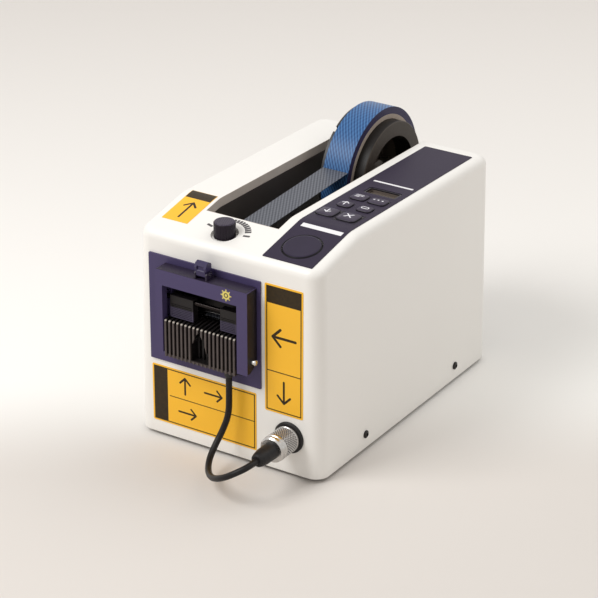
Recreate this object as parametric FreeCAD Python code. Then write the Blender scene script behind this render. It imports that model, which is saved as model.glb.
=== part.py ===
import FreeCAD, Part
import math
import os
from FreeCAD import Placement, Rotation, Vector

# Electric tape dispenser, in millimetres.
# While it is modelled, X runs to the right seen from the front, Y runs to the
# rear from the casing's front face, and Z runs up from the desk.
# Export moves every piece so that the origin is the middle of the footprint.

# Casing
casing_width = 138.0
casing_depth = 213.0
casing_bottom = 3.0
side_draft = 1.05
corner_radius = 9.5
top_edge_radius = 6.0
inner_edge_radius = 3.5
wall = 2.5
front_top_height = 142.5
bend_y = 47.0
bend_height = 151.7
bend_radius = 30.0
rear_top_height = 148.4

# Tape well
well_left = -36.5
well_right = 17.0
well_front = 32.6
well_floor = 52.0
lip_wall = 2.0
lip_depth = 6.0
liner_wall = 2.0
liner_front_wall_y = 60.0
liner_rear_gap = 0.2
seat_pad = 3.0

# Reel and tape
reel_inset = 27.6
reel_z = 128.3
shaft_radius = 5.0
running_gap = 0.05
core_bore = 38.1
core_clearance = 0.2
drum_left = -20.2
drum_right = 7.0
drum_wall = 2.0
cup_radius = 28.0
cup_wall = 1.6
hub_boss_radius = 9.0
flange_setback = 2.4
flange_thickness = 2.8
flange_notch_angle = 124.2
flange_notches = 3
core_wall = 3.2
tape_build = 4.9
tape_width = 19.0
tape_left = -19.5
web_thickness = 0.3
web_gap = 0.35

# Feed mechanism
plate_thickness = 2.0
plate_left = -44.0
plate_right = 20.5
plate_front = 4.0
plate_rear = 72.0
plate_top = 136.0
roller_radius = 8.5
roller_y = 22.0
nip_gap = 1.0
tape_level = 92.6
roller_left = -36.0
roller_right = 16.0
roller_flutes = 28
flute_depth = 0.45
flute_segment = 16.0
roller_shaft_radius = 3.0
guide_radius = 6.0
guide_z = 133.6
guide_shaft_radius = 2.0
rod_radius = 2.5
bush_wall = 2.0
gear_teeth = 18
pinion_teeth = 12
gear_width = 4.0
gear_x = 26.0
gear_backlash = 0.18
pressure_angle = 25.0
pinion_angle = -50.0
motor_radius = 13.0
motor_length = 25.0
motor_plate_x = 33.0

# Cutter
blade_thickness = 1.8
fixed_blade_y = 5.1
blade_gap = 0.3
blade_lift = 3.7
crank_radius = 4.6
crank_half_swing = 50.0
crank_y = 24.0
crank_z = 110.0
crank_pin_radius = 1.5
yoke_clearance = 0.45
yoke_thickness = 2.3
carrier_depth = 5.2
carrier_height = 14.0
slot_gap = 0.3

# Front bezel, cover, comb and tape guides
bezel_left = -57.2
bezel_right = 25.7
bezel_bottom = 55.8
bezel_top = 128.4
bezel_thickness = 1.2
mouth_left = -41.0
mouth_right = 15.4
mouth_frame = 1.4
mouth_bottom = 68.0
mouth_top = 120.0
cover_left = -44.8
cover_right = 23.3
cover_bottom = 68.4
cover_top = 124.4
cover_front = -11.8
cover_back = -1.6
cover_wall = 1.5
return_wall = 1.2
cover_swing = 60.0
window_left = -39.8
window_right = 15.4
window_top = 114.0
pivot_y = -7.0
pivot_z = 76.5
pivot_radius = 1.2
ear_radius = 2.6
latch_centre = -11.1
latch_width = 6.8
latch_head_width = 8.4
latch_pin_y = -7.6
latch_pin_z = 127.6
latch_pin_radius = 1.0
latch_swing = 18.0
latch_ear = 1.0
comb_ribs = 18
comb_left = -39.0
comb_right = 13.4
comb_front = -11.3
comb_rear = 2.6
comb_bottom = 65.6
comb_tip = 90.6
rib_thickness = 1.3
scoop_centre = -13.4
scoop_half_width = 6.2
scoop_depth = 7.2
scoop_top = 88.4
rail_y = -4.5
rail_z = 104.0
rail_radius = 1.5
bracket_width = 1.5
guide_shoe_top = 102.0
guide_left_outer = -37.2
guide_right_outer = 12.0
tape_side_gap = 0.6

# Control panel
panel_left = 23.6
panel_right = 59.1
panel_front = 4.3
panel_rear_margin = 13.0
panel_corner = 0.6
film_thickness = 0.4
start_x = 41.2
start_y = 21.4
start_radius = 12.2
button_gap = 0.35
key_rise = 1.2
key_press = 0.8
start_press = 1.2
display_x = 43.3
display_y = 112.3
display_width = 23.4
display_depth = 10.2
display_recess = 2.3
board_drop = 8.5
board_thickness = 1.6
switch_size = 6.0
switch_height = 1.5
pad_height = 0.1

# Adjusting knob
knob_x = -11.1
knob_y = 15.3
knob_radius = 6.9
knob_height = 10.8
knob_flutes = 24
recess_radius = 8.7
recess_floor = 143.2
collar_radius = 5.6
collar_height = 1.2
spindle_radius = 3.0

# Lead, plug and socket
socket_x = 46.0
socket_z = 28.0
gasket_radius = 10.4
gasket_thickness = 1.7
socket_radius = 6.5
plug_wall = 2.2
ring_wall = 1.1
plug_front = -20.5
boot_end = -36.5
boot_radius = 5.6
boot_tip_radius = 3.6
cord_diameter = 4.1
cord_route = [
    (7.0, -8.2, 62.6),
    (7.0, -8.2, 49.4),
    (6.2, -7.6, 36.0),
    (3.1, -9.6, 25.0),
    (1.4, -16.2, 16.4),
    (3.0, -25.2, 10.9),
    (8.8, -34.8, 8.8),
    (17.0, -43.2, 11.2),
    (25.0, -49.4, 15.5),
    (33.2, -52.2, 20.2),
    (40.2, -50.6, 24.6),
    (46.0, -44.6, 28.0),
    (46.0, -36.5, 28.0),
]

# Base, feet, screws and rear fittings
base_gap = 0.3
base_thickness = 1.5
flange_height = 20.0
foot_radius = 6.5
foot_inset = 16.0
screw_radius = 1.6
screw_head_radius = 2.6
screw_head_height = 1.3
screw_z = 12.6
screw_places = [53.3, 167.5]
supply_inset = 27.0
supply_length = 94.0
inlet_x = 45.0
inlet_z = 26.0
switch_x = 45.0
switch_z = 52.0
rocker_half_swing = 9.0
label_thickness = 0.25

slope_front = math.degrees(math.atan((bend_height - front_top_height) / bend_y))
slope_rear = math.degrees(math.atan((rear_top_height - bend_height) / (casing_depth - bend_y)))
reel_y = casing_depth - reel_inset
drum_radius = core_bore - core_clearance
core_radius = core_bore + core_wall
roll_radius = core_radius + tape_build
flange_radius = roll_radius - flange_setback
tape_right = tape_left + tape_width
feed_z = tape_level - nip_gap / 2 - roller_radius
pressure_z = tape_level + nip_gap / 2 + roller_radius
guide_y = roller_y + roller_radius + 2 * web_gap + web_thickness / 2 + guide_radius
gear_module = (2 * roller_radius + nip_gap) / gear_teeth
gear_distance = gear_module * (gear_teeth + pinion_teeth) / 2
pinion_y = roller_y + gear_distance * math.cos(math.radians(pinion_angle))
pinion_z = feed_z + gear_distance * math.sin(math.radians(pinion_angle))
blade_travel = 2 * crank_radius * math.sin(math.radians(crank_half_swing))
moving_blade_y = fixed_blade_y - blade_gap - blade_thickness
panel_rear = casing_depth - panel_rear_margin
plug_radius = socket_radius + plug_wall
rail_left = cover_left + cover_wall + 0.4
rail_right = window_right + return_wall + 0.4 + bracket_width
origin_y = (cover_front + reel_y + roll_radius) / 2


def box(x0, x1, y0, y1, z0, z1):
    return Part.makeBox(x1 - x0, y1 - y0, z1 - z0, Vector(x0, y0, z0))


def rod_x(y, z, radius, x0, x1):
    return Part.makeCylinder(radius, x1 - x0, Vector(x0, y, z), Vector(1, 0, 0))


def rod_y(x, z, radius, y0, y1):
    return Part.makeCylinder(radius, y1 - y0, Vector(x, y0, z), Vector(0, 1, 0))


def rod_z(x, y, radius, z0, z1):
    return Part.makeCylinder(radius, z1 - z0, Vector(x, y, z0), Vector(0, 0, 1))


def side_prism(points, x0, x1):
    """A flat outline given as (y, z) points, thickened from x0 to x1."""
    corners = [Vector(x0, y, z) for y, z in points]
    face = Part.Face(Part.makePolygon(corners + corners[:1]))
    return face.extrude(Vector(x1 - x0, 0, 0))


def front_prism(points, y0, y1):
    """A flat outline given as (x, z) points, thickened from y0 to y1."""
    corners = [Vector(x, y0, z) for x, z in points]
    face = Part.Face(Part.makePolygon(corners + corners[:1]))
    return face.extrude(Vector(0, y1 - y0, 0))


def turned(points, centre, axis):
    """A solid of revolution; each point is (distance along the axis, radius)."""
    corners = [Vector(0, radius, along) for along, radius in points]
    face = Part.Face(Part.makePolygon(corners + corners[:1]))
    solid = face.revolve(Vector(0, 0, 0), Vector(0, 0, 1), 360)
    solid = Part.makeSolid(solid) if solid.ShapeType != "Solid" else solid
    solid.Placement = Placement(centre, Rotation(Vector(0, 0, 1), axis))
    return solid


def fused(first, *others):
    for other in others:
        first = first.fuse(other)
    return first.removeSplitter()


def cut(first, *others):
    for other in others:
        first = first.cut(other)
    return first


def rounded(shape, radius, axis):
    """Round the straight edges that run along the axis."""
    edges = []
    for edge in shape.Edges:
        if edge.Curve.TypeId != "Part::GeomLine":
            continue
        if abs(edge.tangentAt(edge.FirstParameter).dot(axis)) > 0.999:
            edges.append(edge)
    return shape.makeFillet(radius, edges)


def sharp_top(y):
    """Height of the casing's top at y, with the bend taken as sharp."""
    if y < bend_y:
        return front_top_height + (bend_height - front_top_height) * y / bend_y
    return bend_height + (rear_top_height - bend_height) * (y - bend_y) / (casing_depth - bend_y)


def under_top(drop):
    """Everything below the casing's top surface, lowered by drop."""
    front_y = -10.0
    rear_y = casing_depth + 10.0
    bend_half = bend_radius * math.tan(math.radians(slope_front - slope_rear) / 2)
    along_front = Vector(0, math.cos(math.radians(slope_front)), math.sin(math.radians(slope_front)))
    along_rear = Vector(0, math.cos(math.radians(slope_rear)), math.sin(math.radians(slope_rear)))
    bend = Vector(0, bend_y, bend_height - drop)
    bend_start = bend - along_front * bend_half
    bend_end = bend + along_rear * bend_half
    to_bend = (along_rear - along_front).normalize()
    half_turn = math.radians(slope_front - slope_rear) / 2
    bend_middle = bend + to_bend * bend_radius * (1 / math.cos(half_turn) - 1)
    front_end = Vector(0, front_y, sharp_top(front_y) - drop)
    rear_end = Vector(0, rear_y, sharp_top(rear_y) - drop)
    edges = [
        Part.LineSegment(front_end, bend_start).toShape(),
        Part.Arc(bend_start, bend_middle, bend_end).toShape(),
        Part.LineSegment(bend_end, rear_end).toShape(),
        Part.LineSegment(rear_end, Vector(0, rear_y, -20)).toShape(),
        Part.LineSegment(Vector(0, rear_y, -20), Vector(0, front_y, -20)).toShape(),
        Part.LineSegment(Vector(0, front_y, -20), front_end).toShape(),
    ]
    solid = Part.Face(Part.Wire(edges)).extrude(Vector(2 * casing_width, 0, 0))
    solid.translate(Vector(-casing_width, 0, 0))
    return solid


def side_x(z):
    """Half the casing's width at height z: the sides lean in by the draft."""
    return casing_width / 2 - z * math.tan(math.radians(side_draft))


def plan_wire(inset, z):
    half = side_x(z) - inset
    front = inset
    rear = casing_depth - inset
    radius = corner_radius - inset
    diagonal = radius * math.sqrt(0.5)
    edges = []
    centres = [(half - radius, rear - radius, 1, 1), (radius - half, rear - radius, -1, 1),
               (radius - half, front + radius, -1, -1), (half - radius, front + radius, 1, -1)]
    arcs = []
    for index, (x, y, sx, sy) in enumerate(centres):
        start = Vector(x + sx * radius, y, z)
        end = Vector(x, y + sy * radius, z)
        if index % 2:
            start, end = end, start
        middle = Vector(x + sx * diagonal, y + sy * diagonal, z)
        arcs.append((start, middle, end))
    for index, (start, middle, end) in enumerate(arcs):
        edges.append(Part.Arc(start, middle, end).toShape())
        edges.append(Part.LineSegment(end, arcs[(index + 1) % 4][0]).toShape())
    return Part.Wire(edges)


def casing_block(inset, drop, bottom, edge_radius):
    """The casing's outside, or a smaller copy of it, with rounded top edges."""
    block = Part.makeLoft([plan_wire(inset, bottom), plan_wire(inset, bend_height + 10)], True, True)
    block = block.common(under_top(drop))
    rim = []
    for edge in block.Edges:
        middle = edge.valueAt((edge.FirstParameter + edge.LastParameter) / 2)
        ends = [vertex.Point for vertex in edge.Vertexes]
        on_top = all(abs(point.z - (sharp_top(point.y) - drop)) < 0.4 for point in ends + [middle])
        across = all(corner_radius < point.y < casing_depth - corner_radius for point in ends)
        across = across and abs(ends[0].y - ends[-1].y) < 0.01
        if on_top and not across:
            rim.append(edge)
    return block.makeFillet(edge_radius, rim)


def on_top(shape, x, y):
    """Seat a shape, modelled upright on the origin, on the casing's top at (x, y)."""
    slope = slope_front if y < bend_y else slope_rear
    placed = shape.copy()
    placed.Placement = Placement(Vector(x, y, sharp_top(y)), Rotation(Vector(1, 0, 0), slope))
    return placed


def key_layout():
    """Name, centre and size of each small key."""
    left = panel_left + 8.6
    right = left + 15.4
    return [
        ("down_key", left - 0.2, 65.4, 12.8, 12.6),
        ("stop_key", right - 0.3, 65.2, 13.8, 13.0),
        ("up_key", left + 2.2, 81.8, 9.4, 8.4),
        ("set_key", right + 1.3, 81.6, 9.8, 8.4),
        ("mode_key", left + 3.4, 97.0, 11.0, 9.4),
        ("count_key", right + 1.7, 97.0, 12.4, 9.6),
    ]


def key_block(width, depth, low, high, corner):
    block = box(-width / 2, width / 2, -depth / 2, depth / 2, low, high)
    return rounded(block, corner, Vector(0, 0, 1))


def panel_holes(gap, low, high):
    """Clearance through the top for the start button, the keys and the display."""
    holes = [on_top(rod_z(0, 0, start_radius + gap, low, high), start_x, start_y)]
    for name, x, y, width, depth in key_layout():
        holes.append(on_top(key_block(width + 2 * gap, depth + 2 * gap, low, high, 2.2), x, y))
    holes.append(on_top(key_block(display_width, display_depth, low, high, 1.5), display_x, display_y))
    return holes


def board_posts():
    """Posts that hang the two circuit boards below the casing's top wall."""
    posts = []
    for x, y in [(27.0, 56.0), (58.0, 56.0), (27.0, 125.0), (58.0, 125.0), (27.6, 8.0), (56.0, 33.0)]:
        posts.append(on_top(rod_z(0, 0, 2.0, -board_drop + board_thickness, -wall + 0.5), x, y))
    return posts


def knob_boss():
    """Thicker wall under the level recess that the knob stands in."""
    boss = rod_z(knob_x, knob_y, recess_radius + wall, recess_floor - wall, 200)
    return boss.common(under_top(1.0))


def make_casing():
    shell = casing_block(0, 0, casing_bottom, top_edge_radius)
    shell = shell.cut(casing_block(wall, wall, casing_bottom - 1, inner_edge_radius))
    outer = casing_block(0, 0, casing_bottom, top_edge_radius)
    well = box(well_left, well_right, well_front, casing_depth + 1, well_floor, 200)
    lip = box(well_left - lip_wall, well_right + lip_wall, well_front - lip_wall, casing_depth, 60, 200)
    lip = lip.common(outer).cut(under_top(lip_depth))
    shell = fused(shell, lip)
    shell = fused(shell, *board_posts(), knob_boss())
    shell = shell.cut(well)
    shell = shell.cut(box(well_left - seat_pad - 0.4, well_right + seat_pad + 0.4,
                          casing_depth - wall - 1, casing_depth + 1,
                          reel_z - shaft_radius - 0.6, reel_z + shaft_radius + 0.6))
    shell = shell.cut(box(mouth_left, mouth_right, -1, wall + 1, mouth_bottom, mouth_top))
    shell = cut(shell, *panel_holes(button_gap, -2 * wall, 2))
    shell = shell.cut(rod_z(knob_x, knob_y, recess_radius, recess_floor, 200))
    shell = shell.cut(rod_z(knob_x, knob_y, 4.1, recess_floor - 2 * wall, 200))
    shell = shell.cut(rod_y(socket_x, socket_z, socket_radius + 0.1, -1, wall + 1))
    for y in screw_places:
        shell = shell.cut(rod_x(y, screw_z, screw_radius + 0.15, -casing_width, casing_width))
    shell = shell.cut(box(inlet_x - 13.6, inlet_x + 13.6, casing_depth - 5, casing_depth + 1,
                          inlet_z - 9.6, inlet_z + 9.6))
    shell = shell.cut(box(switch_x - 9.6, switch_x + 9.6, casing_depth - 5, casing_depth + 1,
                          switch_z - 6.6, switch_z + 6.6))
    return shell


def make_base_plate():
    inset = wall + base_gap
    plate = Part.makeLoft([plan_wire(inset + 0.4, casing_bottom),
                           plan_wire(inset + 0.4, casing_bottom + base_thickness)], True, True)
    flange_x = side_x(casing_bottom + flange_height) - inset
    for side in (-1, 1):
        x0, x1 = sorted((side * (flange_x - base_thickness), side * flange_x))
        plate = plate.fuse(box(x0, x1, 30, casing_depth - 25, casing_bottom, casing_bottom + flange_height))
    plate = plate.removeSplitter()
    for y in screw_places:
        plate = plate.cut(rod_x(y, screw_z, screw_radius + 0.05, -casing_width, casing_width))
    for x, y in foot_places():
        plate = plate.cut(rod_z(x, y, 2.15, 0, 10))
    return plate


def foot_places():
    x = casing_width / 2 - foot_inset
    return [(sx * x, y) for sx in (-1, 1) for y in (foot_inset, casing_depth - foot_inset)]


def make_rubber_feet():
    feet = []
    for x, y in foot_places():
        profile = [(0, 0), (0, foot_radius - 0.8), (0.8, foot_radius), (casing_bottom, foot_radius),
                   (casing_bottom, 2.05), (casing_bottom + base_thickness, 2.05),
                   (casing_bottom + base_thickness, 3.0), (casing_bottom + base_thickness + 1.2, 2.4),
                   (casing_bottom + base_thickness + 1.2, 0)]
        feet.append(turned(profile, Vector(x, y, 0), Vector(0, 0, 1)))
    return Part.makeCompound(feet)


def make_side_screws():
    screws = []
    face_x = side_x(screw_z - screw_head_radius)
    inner_x = side_x(casing_bottom + flange_height) - wall - base_gap - base_thickness
    for side in (-1, 1):
        for y in screw_places:
            profile = [(inner_x - 2, 0), (inner_x - 2, screw_radius), (face_x, screw_radius),
                       (face_x, screw_head_radius), (face_x + screw_head_height * 0.5, screw_head_radius),
                       (face_x + screw_head_height, screw_head_radius * 0.6), (face_x + screw_head_height, 0)]
            screw = turned(profile, Vector(0, y, screw_z), Vector(side, 0, 0))
            socket = rod_x(y, screw_z, 1.0, face_x + 0.5, face_x + 2)
            if side < 0:
                socket = rod_x(y, screw_z, 1.0, -face_x - 2, -face_x - 0.5)
            screws.append(screw.cut(socket))
    return Part.makeCompound(screws)


def make_well_liner():
    rear = casing_depth - wall - liner_rear_gap
    front = well_front + 0.6
    outer_left = well_left - liner_wall
    outer_right = well_right + liner_wall
    walls = box(outer_left, outer_right, front, rear, well_floor - liner_wall, 200)
    walls = walls.cut(box(well_left, well_right, front - 1, rear + 1, well_floor, 201))
    walls = walls.cut(box(outer_left - 1, outer_right + 1, front - 1, liner_front_wall_y - liner_wall,
                          0, well_floor))
    front_wall = box(outer_left, outer_right, liner_front_wall_y - liner_wall, liner_front_wall_y,
                     well_floor - liner_wall, 112)
    pad_rear = rear
    pads = []
    for x0, x1 in ((outer_left - seat_pad, outer_left), (outer_right, outer_right + seat_pad)):
        pads.append(box(x0, x1, reel_y - 20, pad_rear, reel_z - 20, 200))
    body = fused(walls, front_wall, *pads)
    body = body.common(under_top(lip_depth + 0.3))
    groove_left = well_left - seat_pad
    groove_right = well_right + seat_pad
    radius = shaft_radius + running_gap
    groove = rod_x(reel_y, reel_z, radius, groove_left, groove_right)
    groove = groove.fuse(box(groove_left, groove_right, reel_y, rear + 1, reel_z - radius, reel_z + radius))
    body = body.cut(groove)
    body = body.cut(rod_x(guide_y, guide_z, guide_shaft_radius + 0.6, -60, 60))
    return body


def frame_plate(x0):
    """The upright part of one side plate of the feed and cutter frame."""
    x1 = x0 + plate_thickness
    plate = box(x0, x1, plate_front, plate_rear, casing_bottom + base_thickness, plate_top)
    plate = plate.cut(side_prism([(plate_rear - 22, plate_top), (plate_rear, plate_top - 40),
                                  (plate_rear + 5, plate_top - 40), (plate_rear + 5, plate_top + 5),
                                  (plate_rear - 22, plate_top + 5)], x0 - 1, x1 + 1))
    for z in (feed_z, pressure_z):
        plate = plate.cut(rod_x(roller_y, z, roller_shaft_radius + bush_wall, x0 - 1, x1 + 1))
    plate = plate.cut(rod_x(guide_y, guide_z, guide_shaft_radius, x0 - 1, x1 + 1))
    tongue_low, tongue_high = tongue_heights()
    slot = box(x0 - 1, x1 + 1, carrier_tongue_y()[0] - slot_gap, carrier_tongue_y()[1] + slot_gap,
               tongue_low - blade_travel - slot_gap, tongue_high + slot_gap)
    return plate.cut(slot)


def carrier_tongue_y():
    return fixed_blade_y + 1.0, fixed_blade_y + 3.8


def carrier_bottom():
    return crank_z - 5.0


def tongue_heights():
    return carrier_bottom() + 3.0, carrier_bottom() + 11.0


def plate_foot(x0, x1):
    low = casing_bottom + base_thickness
    return box(x0, x1, plate_front + 20, plate_rear - 8, low, low + plate_thickness)


def make_frame_plate_left():
    return fused(frame_plate(plate_left), plate_foot(plate_left - 12, plate_left))


def motor_post_places():
    places = []
    for angle in (45, 165, 285):
        places.append((pinion_y + 11.2 * math.cos(math.radians(angle)),
                       pinion_z + 11.2 * math.sin(math.radians(angle))))
    return places


def make_frame_plate_right():
    outer = plate_right + plate_thickness
    plate = fused(frame_plate(plate_right), plate_foot(outer, outer + 10))
    places = [(pinion_y + 19.0, pinion_z - 12.0), (pinion_y + 19.0, pinion_z + 12.0),
              (pinion_y - 13.0, pinion_z - 16.0)]
    bracket = box(motor_plate_x - 1.5, motor_plate_x, pinion_y - 17, pinion_y + 23,
                  pinion_z - 20, pinion_z + 3.0)
    bracket = bracket.fuse(box(motor_plate_x - 1.5, motor_plate_x, pinion_y + 11, pinion_y + 23,
                               pinion_z - 20, pinion_z + 16))
    bracket = bracket.cut(rod_x(pinion_y, pinion_z, 4.0, motor_plate_x - 5, motor_plate_x + 5))
    for y, z in places:
        bracket = bracket.fuse(rod_x(y, z, 2.5, outer, motor_plate_x - 0.5))
    return fused(plate, bracket)


def make_cross_rods():
    rods = []
    for y, z in ((12.0, 58.0), (12.0, 26.0), (62.0, 30.0)):
        rods.append(rod_x(y, z, rod_radius, plate_left + plate_thickness, plate_right))
    rods.append(rod_x(guide_y, guide_z, guide_shaft_radius, plate_left, plate_right + plate_thickness))
    return Part.makeCompound(rods)


def make_reel_shaft():
    left = well_left - seat_pad + 0.2
    right = well_right + seat_pad - 0.2
    profile = [(left, 0), (left, shaft_radius - 0.6), (left + 0.6, shaft_radius),
               (right - 0.6, shaft_radius), (right, shaft_radius - 0.6), (right, 0)]
    return turned(profile, Vector(0, reel_y, reel_z), Vector(1, 0, 0))


def make_reel_hub():
    face_wall = 1.8
    disc_right = drum_left + 4.0
    profile = [
        (drum_left, shaft_radius + running_gap),
        (drum_left, drum_radius),
        (drum_right - 0.6, drum_radius),
        (drum_right, drum_radius - 0.6),
        (drum_right, cup_radius),
        (disc_right, cup_radius - 0.5),
        (disc_right, hub_boss_radius + 1.5),
        (disc_right + 12, hub_boss_radius),
        (disc_right + 12, shaft_radius + running_gap),
    ]
    drum = turned(profile, Vector(0, reel_y, reel_z), Vector(1, 0, 0))
    hollow = [
        (drum_left - 1, cup_radius + cup_wall),
        (drum_left - 1, drum_radius - drum_wall),
        (drum_right - face_wall, drum_radius - drum_wall),
        (drum_right - face_wall, cup_radius + cup_wall),
    ]
    drum = drum.cut(turned(hollow, Vector(0, reel_y, reel_z), Vector(1, 0, 0)))
    web = turned([(drum_left, cup_radius), (drum_left, drum_radius - 0.5),
                  (drum_left + 1.6, drum_radius - 0.5), (drum_left + 1.6, cup_radius)],
                 Vector(0, reel_y, reel_z), Vector(1, 0, 0))
    drum = fused(drum, web)
    for spoke in range(6):
        rib = box(disc_right - 0.2, disc_right + 8, -0.7, 0.7, hub_boss_radius - 0.5, cup_radius)
        rib.rotate(Vector(0, 0, 0), Vector(1, 0, 0), 60 * spoke + 30)
        rib.translate(Vector(0, reel_y, reel_z))
        drum = drum.fuse(rib)
    return drum.removeSplitter()


def make_reel_flange():
    right = drum_left
    left = right - flange_thickness
    disc = turned([(left, shaft_radius + running_gap), (left, flange_radius - 0.5),
                   (left + 0.5, flange_radius), (right, flange_radius), (right, shaft_radius + running_gap)],
                  Vector(0, reel_y, reel_z), Vector(1, 0, 0))
    for notch in range(flange_notches):
        slot = box(left - 1, right + 1, flange_radius - 2.6, flange_radius + 2, -2.2, 2.2)
        slot.rotate(Vector(0, 0, 0), Vector(1, 0, 0), flange_notch_angle + 360 * notch / flange_notches)
        slot.translate(Vector(0, reel_y, reel_z))
        disc = disc.cut(slot)
    return disc


def ring_x(inner, outer, x0, x1):
    return rod_x(reel_y, reel_z, outer, x0, x1).cut(rod_x(reel_y, reel_z, inner, x0 - 1, x1 + 1))


def make_paper_core():
    return ring_x(core_bore, core_radius, tape_left, tape_right)


def make_tape_roll():
    return ring_x(core_radius, roll_radius, tape_left, tape_right)


def arc_points(centre_y, centre_z, radius, start, end, steps):
    points = []
    for step in range(steps + 1):
        angle = math.radians(start + (end - start) * step / steps)
        points.append((centre_y + radius * math.cos(angle), centre_z + radius * math.sin(angle)))
    return points


def web_edges(offset):
    """One face of the tape's free run, offset from the run's middle."""
    guide_run = guide_radius + web_gap + web_thickness / 2
    press_run = roller_radius + web_gap + web_thickness / 2
    peel_angle = math.radians(160)
    peel = roll_radius + web_gap + web_thickness
    start_y = reel_y + peel * math.cos(peel_angle)
    start_z = reel_z + peel * math.sin(peel_angle)
    top = 92.0
    start = Vector(0, start_y, start_z + offset)
    on_guide = arc_points(guide_y, guide_z, guide_run + offset, top, 180, 1)
    guide_middle = arc_points(guide_y, guide_z, guide_run + offset, top, 180, 2)[1]
    on_press = arc_points(roller_y, pressure_z, press_run - offset, 0, -90, 1)
    press_middle = arc_points(roller_y, pressure_z, press_run - offset, 0, -90, 2)[1]
    points = [start, Vector(0, *on_guide[0]), Vector(0, *on_guide[1]),
              Vector(0, *on_press[0]), Vector(0, *on_press[1]),
              Vector(0, fixed_blade_y + 0.1, tape_level + offset)]
    return [
        Part.LineSegment(points[0], points[1]).toShape(),
        Part.Arc(points[1], Vector(0, *guide_middle), points[2]).toShape(),
        Part.LineSegment(points[2], points[3]).toShape(),
        Part.Arc(points[3], Vector(0, *press_middle), points[4]).toShape(),
        Part.LineSegment(points[4], points[5]).toShape(),
    ], points


def make_tape_web():
    upper, upper_points = web_edges(web_thickness / 2)
    lower, lower_points = web_edges(-web_thickness / 2)
    front = Part.LineSegment(upper_points[-1], lower_points[-1]).toShape()
    rear = Part.LineSegment(lower_points[0], upper_points[0]).toShape()
    outline = Part.Wire(Part.__sortEdges__(upper + [front] + lower + [rear]))
    web = Part.Face(outline).extrude(Vector(tape_width, 0, 0))
    web.translate(Vector(tape_left, 0, 0))
    return web


def make_guide_roller():
    body = rod_x(guide_y, guide_z, guide_radius, roller_left, roller_right)
    body = rounded_ends(body, 0.6)
    return body.cut(rod_x(guide_y, guide_z, guide_shaft_radius + running_gap, roller_left - 1, roller_right + 1))


def rounded_ends(body, radius):
    edges = [edge for edge in body.Edges if edge.Curve.TypeId == "Part::GeomCircle"]
    return body.makeChamfer(radius, edges)


def fluted_roller(z, phase):
    """A rubber roller with flutes along two end stretches and a plain middle."""
    body = rod_x(roller_y, z, roller_radius, roller_left, roller_right)
    for x0, x1 in ((roller_left, roller_left + flute_segment), (roller_right - flute_segment, roller_right)):
        for flute in range(roller_flutes):
            angle = math.radians(360 * (flute + phase) / roller_flutes)
            y = roller_y + (roller_radius + 0.15) * math.cos(angle)
            groove_z = z + (roller_radius + 0.15) * math.sin(angle)
            body = body.cut(rod_x(y, groove_z, flute_depth + 0.15, x0 - 0.5, x1))
    return body.cut(rod_x(roller_y, z, roller_shaft_radius, roller_left - 1, roller_right + 1))


def make_feed_roller():
    return fluted_roller(feed_z, 0)


def make_pressure_roller():
    body = rod_x(roller_y, pressure_z, roller_radius, roller_left, roller_right)
    body = rounded_ends(body, 0.5)
    for groove in range(7):
        x = roller_left + 5 + groove * 7.0
        ring = rod_x(roller_y, pressure_z, roller_radius + 1, x - 0.6, x + 0.6)
        body = body.cut(ring.cut(rod_x(roller_y, pressure_z, roller_radius - 0.5, x - 1, x + 1)))
    return body.cut(rod_x(roller_y, pressure_z, roller_shaft_radius, roller_left - 1, roller_right + 1))


def roller_shaft(z):
    return rod_x(roller_y, z, roller_shaft_radius, plate_left - 0.2, gear_x + gear_width + 0.8)


def make_roller_bushes():
    bushes = []
    for z in (feed_z, pressure_z):
        for x0, collar in ((plate_left, 1), (plate_right, -1)):
            x1 = x0 + plate_thickness
            bush = rod_x(roller_y, z, roller_shaft_radius + bush_wall, x0, x1)
            inner = x1 if collar > 0 else x0 - 1.2
            bush = bush.fuse(rod_x(roller_y, z, roller_shaft_radius + bush_wall + 1.2, inner, inner + 1.2))
            bush = bush.removeSplitter()
            bushes.append(bush.cut(rod_x(roller_y, z, roller_shaft_radius + running_gap, x0 - 5, x1 + 5)))
    return Part.makeCompound(bushes)


def gear_outline(teeth, phase):
    """Involute teeth as (y, z) points round the origin; phase turns them, in degrees."""
    pitch_radius = gear_module * teeth / 2
    flank_angle = math.radians(pressure_angle)
    base_radius = pitch_radius * math.cos(flank_angle)
    outer_radius = pitch_radius + 0.85 * gear_module
    root_radius = pitch_radius - 1.15 * gear_module
    half_at_pitch = math.pi / (2 * teeth) - gear_backlash / (2 * pitch_radius)
    involute_at_pitch = math.tan(flank_angle) - flank_angle

    def half_tooth(radius):
        roll = math.acos(min(1.0, base_radius / radius))
        return half_at_pitch + involute_at_pitch - (math.tan(roll) - roll)

    low = max(base_radius, root_radius)
    radii = [low + (outer_radius - low) * step / 4 for step in range(5)]
    flank = [(root_radius, half_tooth(low) + 0.03)] + [(radius, half_tooth(radius)) for radius in radii]
    points = []
    for tooth in range(teeth):
        centre = math.radians(phase) + 2 * math.pi * tooth / teeth
        for radius, half in flank:
            points.append((radius * math.cos(centre - half), radius * math.sin(centre - half)))
        for radius, half in reversed(flank):
            points.append((radius * math.cos(centre + half), radius * math.sin(centre + half)))
    return points


def spur_gear(teeth, phase, y, z, bore):
    gear = side_prism([(y + dy, z + dz) for dy, dz in gear_outline(teeth, phase)], gear_x, gear_x + gear_width)
    return gear.cut(rod_x(y, z, bore, gear_x - 1, gear_x + gear_width + 1))


def make_drive_gear():
    return spur_gear(gear_teeth, 90, roller_y, feed_z, roller_shaft_radius)


def make_pressure_gear():
    """A gap of this gear faces down, over the drive gear's upright tooth."""
    return spur_gear(gear_teeth, -90 + 180 / gear_teeth, roller_y, pressure_z, roller_shaft_radius)


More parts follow.
